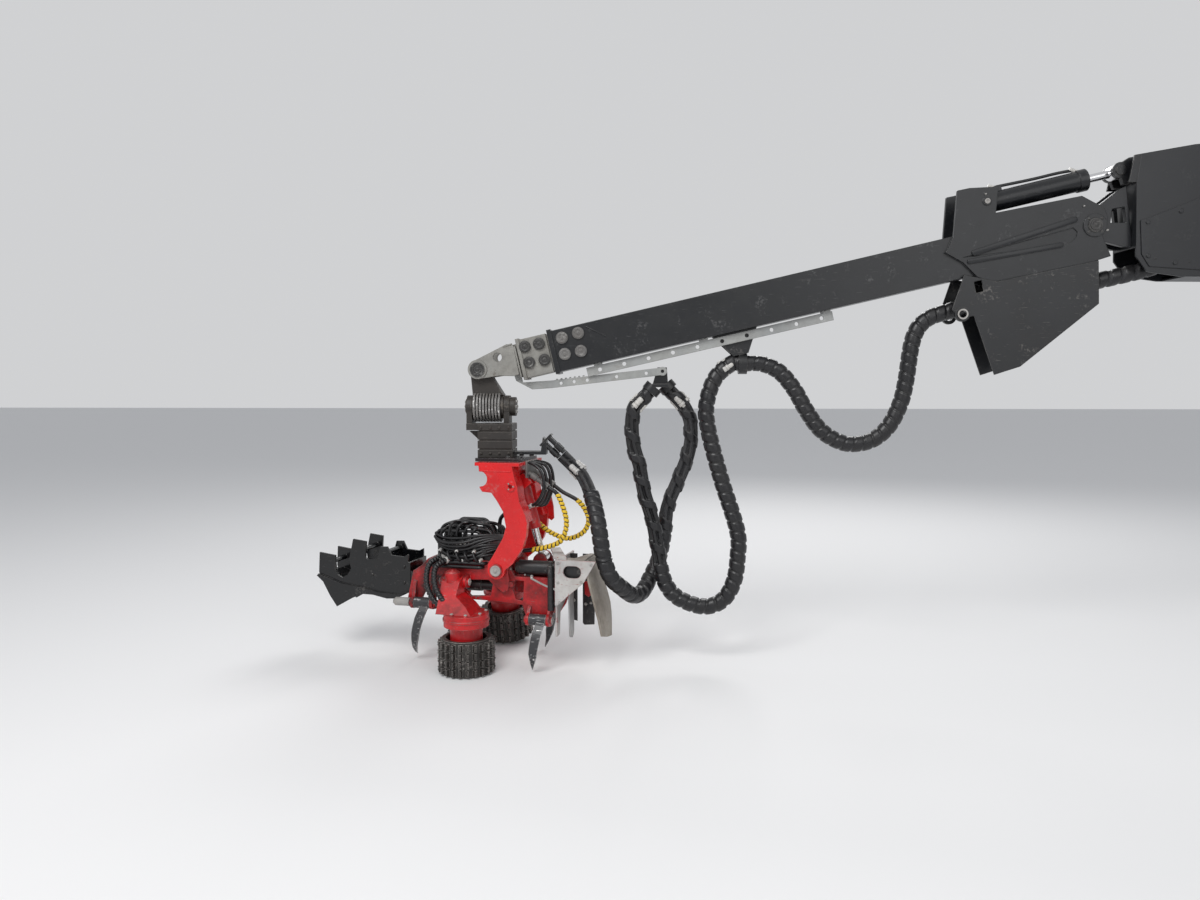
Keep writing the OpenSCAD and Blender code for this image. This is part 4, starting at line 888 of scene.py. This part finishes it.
print(len(masters), "masters")

# %% Pins, caps and bolts of the crane
COLLAR_X, BEAM_END, TIP_PIN_X = -3418, -3222, -3681
JIB_PADS = [(83, 69), (184, 75), (79, -29), (177, -33)]
COLLAR_PADS = [(50, 68), (137, 66), (54, -30), (148, -35)]
copies("jib_pad_domes", dome, both(on_jib, [(BEAM_END + x, z) for x, z in JIB_PADS], 96.2, 1.06),
       "dull_steel", "jib")
copies("collar_pad_domes", dome,
       both(on_jib, [(COLLAR_X + x, z) for x, z in COLLAR_PADS], 95.2, 1.06),
       "oily_steel", "extension_1")
copies("knuckle_caps", washer_cap, both(on_jib, [(0, 0)], 123.5), "oily_steel", "jib")
copies("knuckle_bolts", bolt, both(on_jib, quarters(0, 52, 0.6), 115.5, 0.62), "oily_steel", "jib")
copies("tip_pin_caps", washer_cap, both(on_jib, [(TIP_PIN_X, 0)], 95.7, 0.8), "oily_steel",
       "extension_2")
copies("tip_pin_bolts", bolt, both(on_jib, quarters(TIP_PIN_X, 35, 0.8), 101.6, 0.5), "oily_steel",
       "extension_2")
copies("cover_bolts", bolt, both(lambda x, y, z: KNUCKLE + mm(x, y, z),
                                 ((330, -195), (520, -215), (650, -225)), 130.2, 0.8),
       "bracket_black", "main_boom")
copies("barrel_pin_bolts", screw, both(on_jib, [(-564, 274)], 113.5, 1.7), "pin_steel", "jib")
copies("grease_points", nipple, [(on_jib(*spot), (0, -1, 0)) for spot in
                                 ((-564, -108, 316), (58, -116, -44), (-40, -108, 120))],
       "pin_steel", "jib")
copies("head_nipples", nipple, [(on_head(x, -151, z), head_way(0, -1, 0)) for x, z in
                                ((-250, -1190), (240, -1200), (330, -1230))], "pin_steel", "head")
ROLLER_X, ROLLER_Y, MOTOR_BOLTS = 14, -310, 116
copies("motor_bolts", screw,
       [(on_head(ROLLER_X + MOTOR_BOLTS * math.cos(a), ROLLER_Y + MOTOR_BOLTS * math.sin(a),
                 -1432.2), (0, 0, 1), 1.1)
        for a in [math.radians(45 * i + 20) for i in range(8)]], "pin_steel", "near_arm")
copies("motor_cap", washer_cap, [(on_head(-106, -228, -1215.2), (0, 0, 1))], "frame_red",
       "near_arm")
print(sum(1 for o in bpy.data.objects if o.type == "MESH"), "meshes so far")

# %% [markdown]
# Weld beads run where plates meet. A bead is a thin tube with a close ripple,
# sunk half into the corner, in the colour of the plates that it joins.
# %% Welds
BEAD, RIPPLE, RIPPLE_PITCH = 0.004, 0.16, 0.007


def ripple(s, turn):
    lag = 0.25 * math.cos(math.tau * turn)
    return BEAD * (1 + RIPPLE * math.sin(math.tau * (s / RIPPLE_PITCH + lag)))


def weld(name, points, finish, body):
    fine = []
    for a, b in zip(points, points[1:]):
        count = max(2, round((b - a).length / (RIPPLE_PITCH / 3)))
        fine += [a.lerp(b, i / count) for i in range(count)]
    fine.append(points[-1])
    dress(sweep(name, fine, 8, ripple), finish, body)


BEADS = (
    ("base", on_jib, 87.5, "jib_black", "jib",
     ((-700, -137), (-760, -40), (-850, 43), (-829, 60), (-808, 90), (-785, 122))),
    ("collar", on_jib, 87.5, "jib_black", "jib",
     ((BEAM_END + 26.5, -122), (BEAM_END + 26.5, 122))),
    ("guard", on_jib, 107.5, "jib_black", "jib", ((-774, -110), (-603, -188), (-20, -203))),
    ("arch", on_head, 220, "arch_red", "arch", ((70, -604), (270, -604))),
    ("ear", on_head, 150, "frame_red", "head",
     ((114, -1215), (128, -1262), (160, -1312), (200, -1340), (232, -1320), (240, -1262))))
for s in SIDES:
    for name, place, y, finish, body, corners in BEADS:
        weld(f"{name}_weld_{s + 1}", [place(x, s * y, z) for x, z in corners], finish, body)
print(len(SIDES) * len(BEADS), "welds")

# %% [markdown]
# ## Hoses on the head
# Small pressure hoses loop from port to port over the valve bank. Each is swept
# along a short spline. Crimped steel ferrules close the ends that aren't sunk in
# a block. A hose that crosses a joint starts on one body and ends on the other.
# %% Small hoses
CRIMPED_RADIUS, CRIMP_SET = 0.0095, 0.012
PLAIN_STEP, WOUND_STEP = 0.006, 0.004


def line(name, points, body, radius=0.0085, place=on_head, finish="hose_rubber", ends=True,
         sides=14, other=None, guard=None):
    route = eased([tuple(place(*q) * 1000) for q in points],
                  WOUND_STEP if guard else PLAIN_STEP)
    hose = dress(sweep(name, route, sides, guard or (lambda s, turn: radius)), finish,
                 None if other else body)
    if other:
        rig.blend(hose, other, body, start=route[4], end=route[-8])
        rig.slot(hose, finish)
    if ends:
        for tag, at, back, rider in (("_start", route[0], route[1], other or body),
                                     ("_end", route[-1], route[-2], body)):
            out = at - back
            copies(name + tag, crimp, [(at - out.normalized() * CRIMP_SET, out,
                                        radius / CRIMPED_RADIUS)], ferrule, rider)


for i in range(5):
    x = -222 + 50 * i
    high = -978 + 11 * ((i * 3) % 4)
    line(f"bank_hose_{i}",
         [(x, -118, -1044), (x + 2, -124, -1004), (x + 20, -132, high), (x + 44, -96, high + 14),
          (x + 54, -40, high - 4), (x + 50, 4, -1000), (x + 48, 8, -1044)], "head", ends=False)
for i in range(5):
    x = -216 + 56 * i
    line(f"port_hose_{i}",
         [(x, -150, -1104), (x + 3, -176, -1106), (x + 12, -196, -1126), (x + 26, -192, -1152),
          (x + 36, -168, -1158), (x + 38, -148, -1156)], "head", 0.0075, ends=i % 2 == 0)
# Longer hoses sag along the near face of the bank and pass behind the arch
for i in range(9):
    high, out, sag = -1020 - 15 * i, -140 - 7 * ((i * 4) % 5), 10 + 7 * ((i * 5) % 4)
    line(f"long_hose_{i}",
         [(-252 + 6 * i, -88, high + 18), (-262 + 6 * i, out + 26, high + 10),
          (-190 + 8 * i, out, high - sag), (-70 + 7 * i, out - 6, high + 4 - sag),
          (40 + 5 * i, -138, high + 14), (150, -100, high + 2 + sag),
          (205, -88, high + 10), (250, -60, high + 4)], "head", ends=False)
for i, y in enumerate((-104, -62, 60, 92, 120)):
    high = -962 + 8 * ((i * 3) % 4)
    line(f"cross_hose_{i}",
         [(-248, y, -1044), (-250, y - 3, -1000), (-215, y - 6, high - 20),
          (-120, y + 14, high + 4), (0, y - 10, high - 6), (70, y + 8, high - 20),
          (98, y + 4, -1006), (98, y + 2, -1046)], "head", CRIMPED_RADIUS, ends=False)
MOTOR_LINES = [
    [(-196, -140, -1150), (-220, -190, -1148), (-250, -255, -1185), (-238, -310, -1280),
     (-184, -335, -1370), (-118, -328, -1420), (-94, -318, -1446)],
    [(-150, -140, -1158), (-172, -190, -1162), (-202, -262, -1195), (-184, -314, -1280),
     (-134, -332, -1360), (-72, -325, -1415), (-54, -315, -1446)]]
for number, points in enumerate(MOTOR_LINES, 1):
    line(f"motor_hose_{number}", points, "near_arm", 0.015, other="head",
         guard=wound(0.0135, 0.0045, 0.02, 0.72, 2, 0.0), sides=18)
for i, y in enumerate((-74, -28, 28, 74)):
    line(f"arch_hose_{i}", [(292, y * 0.8, -566), (350, y, -566), (412, y * 1.25, -610 + 6 * i),
                            (432, y * 1.3, -700), (392, y * 1.1, -790 - 12 * i),
                            (318, y * 0.7, -838)], "arch", CRIMPED_RADIUS)
copies("block_screws", screw, [(on_head(-226 + 27 * i, -130.2, -1064), head_way(0, -1, 0), 0.8)
                               for i in range(12)], "pin_steel", "head")
print("small hoses placed")

# %% [markdown]
# Crimped ferrules also end the thick bundles, where single hoses leave the
# brackets. They are a ring of four, set round the bundle's end.
# %% Bundle ends
BUNDLE_CRIMP = 1.35


def bundle_ends(name, at, before, body, spread=0.034):
    direction = (at - before).normalized()
    across = direction.orthogonal().normalized()
    spots = []
    for k in range(4):
        arm = Matrix.Rotation(math.tau * (k + 0.5) / 4, 3, direction) @ across
        spots.append((at + spread * arm - direction * CRIMP_SET, direction, BUNDLE_CRIMP))
    copies(name, crimp, spots, ferrule, body)


loop = paths["hose_loop"]
bundle_ends("loop_start_ferrules", loop[26], loop[16], "jib")
bundle_ends("loop_end_ferrules", loop[-24], loop[-14], "extension_2", 0.032)
bundle_ends("head_start_ferrules", head[22], head[12], "extension_2")
bundle_ends("head_end_ferrules", head[-34], head[-24], "rotator")
print("bundle ends placed")

# %% [markdown]
# The rollers carry rows of welded spikes, one on each tooth of each ring. A
# spike is a low pyramid with a blunt tip. The far roller's spikes follow the
# far arm, which is the mirror of the near one, swung open about its pin.
# %% Roller spikes
spike = turned("spike master", [(-4, 11), (0, 10), (7, 4.5), (8, 3)], 4, 0.0006)
masters.append(spike)
ARM_PIN_Y, ARM_PIN_Z = -190, -1285
FAR_OPEN = math.radians(12)
SPIKES, SPIKE_RINGS, SPIKE_RADIUS = 22, 4, 164.5
ROLLER_EDGE, TOOTHED_HEIGHT, FIRST_RING = 8, 197, 19.6


def far_turn(y, z):
    c, s = math.cos(FAR_OPEN), math.sin(FAR_OPEN)
    return y * c - z * s, y * s + z * c


def on_far(x, y, z):
    """The mirrored place on the far arm, swung open about its pin."""
    across, up = far_turn(ARM_PIN_Y - y, z - ARM_PIN_Z)
    return on_head(x, across - ARM_PIN_Y, up + ARM_PIN_Z)


def far_way(x, y, z):
    across, up = far_turn(-y, z)
    return head_way(x, across, up)


for name, place, way in (("near_roller", on_head, head_way), ("far_roller", on_far, far_way)):
    spots = []
    for k in range(SPIKES):
        a = math.tau * k / SPIKES
        x, y = ROLLER_X + SPIKE_RADIUS * math.cos(a), ROLLER_Y + SPIKE_RADIUS * math.sin(a)
        for ring in range(SPIKE_RINGS):
            z = HEAD_DROP + ROLLER_EDGE + ring * TOOTHED_HEIGHT / SPIKE_RINGS + FIRST_RING
            spots.append((place(x, y, z), way(math.cos(a), math.sin(a), 0)))
    copies(name + "_spikes", spike, spots, "roller_steel", name)
print(SPIKES * SPIKE_RINGS, "spikes on each roller")

# %% Pins, caps and bolts of the head
copies("pin_ends", washer_cap,
       [(on_head(x, y, z), head_way(way, 0, 0), 0.72)
        for y in (-190, 190)
        for x, z, way in ((-199.3, -1285, -1), (510.3 if y < 0 else 442.3, -1490, 1),
                          (-12.7, -1285, 1))], "pin_steel", "head")
copies("flange_bolts", bolt, [(on_head(x, y, -524.4), (0, 0, 1), 1.0)
                              for x in (216, 282) for y in (-128, 128)], "bracket_black", "arch")
copies("saw_plate_bolts", bolt,
       [(on_head(x, -232.1, z), head_way(0, -1, 0), 0.7) for x, z in
        ((560, -1135), (760, -1135), (570, -1368), (700, -1240), (560, -1250))],
       "pin_steel", "head")
copies("guard_bolts", bolt, [(on_head(x, y, z), head_way(0, y, 0), 0.9)
                             for x, z in ((-480, -1230), (-480, -1330), (-700, -1290))
                             for y in (-118.2, 118.2)], "guard_black", "head")
hub = [Vector((0, 0.036 * math.cos(a), 0.036 * math.sin(a)))
       for a in (math.tau * k / 6 for k in range(6))]
copies("link_bolts", bolt, [(at_tip(222.2, 0, -225) + spot, (1, 0, 0), 0.8) for spot in hub],
       "pin_steel", "rotator")
copies("link_bolts_front", bolt,
       [(at_tip(-86.2, 0, -225) + spot * 0.85, (-1, 0, 0), 0.7) for spot in hub],
       "pin_steel", "rotator")
copies("rotator_bolts", bolt,
       both(at_tip, [(ROTATOR_X + x, z) for x in (-84, -28, 28, 84) for z in (-352, -508)],
            105.3, 0.75), "dark_cast", "rotator")
copies("tilt_pin_bolts", bolt,
       both(on_head, [(265 + 19 * c, -692 + 19 * d) for c, d in
                      ((1, 0), (-0.5, 0.87), (-0.5, -0.87))], 228.2, 0.42),
       "pin_steel", "arch")
copies("tilt_joint_caps", washer_cap, both(on_head, [(170, -1200)], 230.2, 1.1),
       "pin_steel", "head")
line("saw_pipe", [(377, -170, -1236), (392, -196, -1244), (470, -206, -1276), (538, -200, -1301),
                  (552, -200, -1306)], "head", 0.006, finish="pin_steel")
print("pins and bolts placed")

# %% [markdown]
# Flat straps are thin bars with rounded corners: the raised strips on the jib's
# cheek plates and the ribs on its beams. The plates inside the saw box are cut
# to an outline, and the rail's low teeth are bolts in a row.
# %% Straps and cut plates
def strap(name, a, b, width, thick, y, finish, body):
    """A bar on the jib with rounded ends from a to b, standing off a plate at y."""
    a, b = Vector(a), Vector(b)
    span = (b - a).length
    bpy.ops.mesh.primitive_plane_add(size=1)
    piece = bpy.context.object
    piece.name = name
    piece.data.transform(Matrix.Diagonal((span / 1000, width / 1000, 1, 1)))
    start_edit()
    bpy.ops.mesh.bevel(offset=width / 2100, segments=5, affect="VERTICES")
    bpy.ops.mesh.extrude_region_move(TRANSFORM_OT_translate={"value": (0, 0, thick / 1000)})
    bpy.ops.mesh.inset(thickness=0.0025)
    bpy.ops.transform.translate(value=(0, 0, 0.0012))
    end_edit()
    finished(piece, 0.0006)
    middle = on_jib((a.x + b.x) / 2, y, (a.y + b.y) / 2)
    along = (on_jib(b.x, y, b.y) - on_jib(a.x, y, a.y)).normalized()
    out = (on_jib(0, y, 0) - on_jib(0, 0, 0)).normalized()
    turn = Matrix((along, out.cross(along), out)).transposed().to_4x4()
    piece.data.transform(Matrix.Translation(middle) @ turn)
    dress(piece, finish, body)


def cut_plate(name, outline, y, thick, finish):
    """A flat plate in the head with the given outline in X and Z, its near face at y."""
    bpy.ops.mesh.primitive_circle_add(vertices=len(outline), radius=1, fill_type="NGON")
    piece = bpy.context.object
    piece.name = name
    for corner, (x, z) in zip(piece.data.vertices, outline):
        corner.co = on_head(x, y, z)
    start_edit()
    depth = on_head(0, y + thick, 0) - on_head(0, y, 0)
    bpy.ops.mesh.extrude_region_move(TRANSFORM_OT_translate={"value": depth})
    end_edit()
    dress(finished(piece, 0.0015), finish, "head")


# Inside the saw box the far wall is two plates, with the bar's slot between them.
# They are near black partly as the dark wall itself and partly as painted shade deep in the box.
LINER_Y, LINER_THICK = 62, 8
cut_plate("saw_liner_rear_shaded", [(630, -1128), (716, -1128), (708, -1380), (704, -1566),
                             (640, -1572), (630, -1560)], LINER_Y, LINER_THICK, "valve_black")
cut_plate("saw_liner_front_shaded", [(551, -1128), (596, -1128), (596, -1550), (551, -1540)],
          LINER_Y, LINER_THICK, "valve_black")
# A near-black plate behind the saw plate's hole is painted shade: it stands for the shadow inside the hole
cut_plate("saw_hole_shade_plate", [(584, -1134), (706, -1134), (706, -1236), (584, -1236)],
          -208, 4, "valve_black")
cut_plate("saw_liner_patch", [(640, -1300), (690, -1290), (696, -1372), (668, -1396),
                              (644, -1380)], 58, 4, "frame_red")
copies("saw_liner_bolts", bolt,
       [(on_head(x, 61.8, z), head_way(0, -1, 0), 0.8) for x, z in
        ((650, -1440), (684, -1430), (574, -1240), (574, -1420))], "pin_steel", "head")
for s in SIDES:
    cheek, beam = s * 107.4, s * 87.4
    strap(f"strip_up_{s + 1}", (-706, 0), (-90, 58), 34, 8, cheek, "jib_black", "jib")
    strap(f"strip_low_{s + 1}", (-740, -40), (-193, -68), 30, 7, cheek, "jib_black", "jib")
    strap(f"crease_{s + 1}", (-2986, 104), (-2880, 20), 9, 2, beam, "jib_black", "jib")
    strap(f"nose_rib_{s + 1}", (-3500, 98), (-3440, 102), 9, 3, beam, "worn_grey", "extension_2")
print("straps and plates placed")

# %% Rail teeth, pipe and rings
copies("rail_teeth", bolt, [(on_jib(-3229 + 27 * i, -34, -166 - 2.6 * i), jib_way(0, 0, 1), 0.55)
                            for i in range(7)], "rail_grey", "extension_2")
line("barrel_pipe", [(-470, 0, 352), (-455, 0, 356), (-250, 0, 350), (-100, 0, 350), (-20, 0, 345),
                     (0, 0, 336)], "jib_barrel", 0.009, place=on_jib, finish="bracket_black")
bpy.ops.mesh.primitive_torus_add(major_radius=0.026, minor_radius=0.005, major_segments=40,
                                 minor_segments=12)
ring = bpy.context.object
start_edit()
bpy.ops.transform.resize(value=(1, 1, 0.7))
bpy.ops.object.mode_set(mode="OBJECT")
bpy.ops.object.shade_smooth()
masters.append(ring)
copies("guard_rings", ring, both(on_jib, [(-831, -328)], 136), "pin_steel", "jib")
copies("gland_ring", ring, [(on_jib(47, 0, 275), jib_way(1, 0, 0), 1.25)], "pin_steel",
       "jib_barrel")
for master in masters:
    bpy.data.objects.remove(master)

# %% [markdown]
# ## Stage and light
# A plain pale floor under the head and an even sky give the soft light of an
# overcast day. The sky is brighter where it is seen, straight or mirrored, than
# where it lights the object, so the background is white and the object isn't
# lit more than it should be.
# %% Floor, world and lamps
FLOOR_SIZE, FLOOR_GAP, FLOOR_X = 120, 0.004, -5
bpy.ops.mesh.primitive_plane_add(size=FLOOR_SIZE, location=(FLOOR_X, 0, GROUND - FLOOR_GAP))
floor = bpy.context.object
floor.name = "floor"
floor_paint, tree, shader = new_material("pale floor")
shader.inputs["Base Color"].default_value = rgb((0.86, 0.85, 0.84))
shader.inputs["Roughness"].default_value = 0.9
floor.data.materials.append(floor_paint)
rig.stage(floor)

SKY_LIGHT, SKY_SEEN, SKY_STRENGTH = (0.8, 0.83, 0.88), (1.15, 1.16, 1.18), 0.55
world = bpy.data.worlds.new("sky")
bpy.context.scene.world = world
world.use_nodes = True
sky = world.node_tree.nodes["Background"]
rays = world.node_tree.nodes.new("ShaderNodeLightPath")
direct = calc(world.node_tree, "MAXIMUM", rays.outputs["Is Camera Ray"],
              calc(world.node_tree, "MAXIMUM", rays.outputs["Is Glossy Ray"],
                   rays.outputs["Is Transmission Ray"]))
seen = blend_color(world.node_tree, direct, rgb(SKY_LIGHT), rgb(SKY_SEEN))
world.node_tree.links.new(seen, sky.inputs["Color"])
sky.inputs["Strength"].default_value = SKY_STRENGTH
bpy.context.scene.view_settings.view_transform = "Standard"


def lamp(name, place, aim, size, power):
    light = bpy.data.lights.new(name, "AREA")
    light.size = size
    light.energy = power
    made = bpy.data.objects.new(name, light)
    made.location = place
    made.rotation_euler = (Vector(aim) - Vector(place)).to_track_quat("-Z", "Y").to_euler()
    bpy.context.scene.collection.objects.link(made)


lamp("key lamp", (-9.5, -6.0, 4.5), (-6.8, 0, -1.4), 4.0, 420)
lamp("fill lamp", (-3.0, -6.5, 1.5), (-6.0, 0, -1.2), 5.0, 90)
lamp("back lamp", (-5.0, 6.5, 4.0), (-6.5, 0, -1.2), 4.0, 260)

# %% Close
json.dump({"cad": cad_box, "visual": [list(corner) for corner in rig.bounds()]},
          open("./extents.json", "w"))
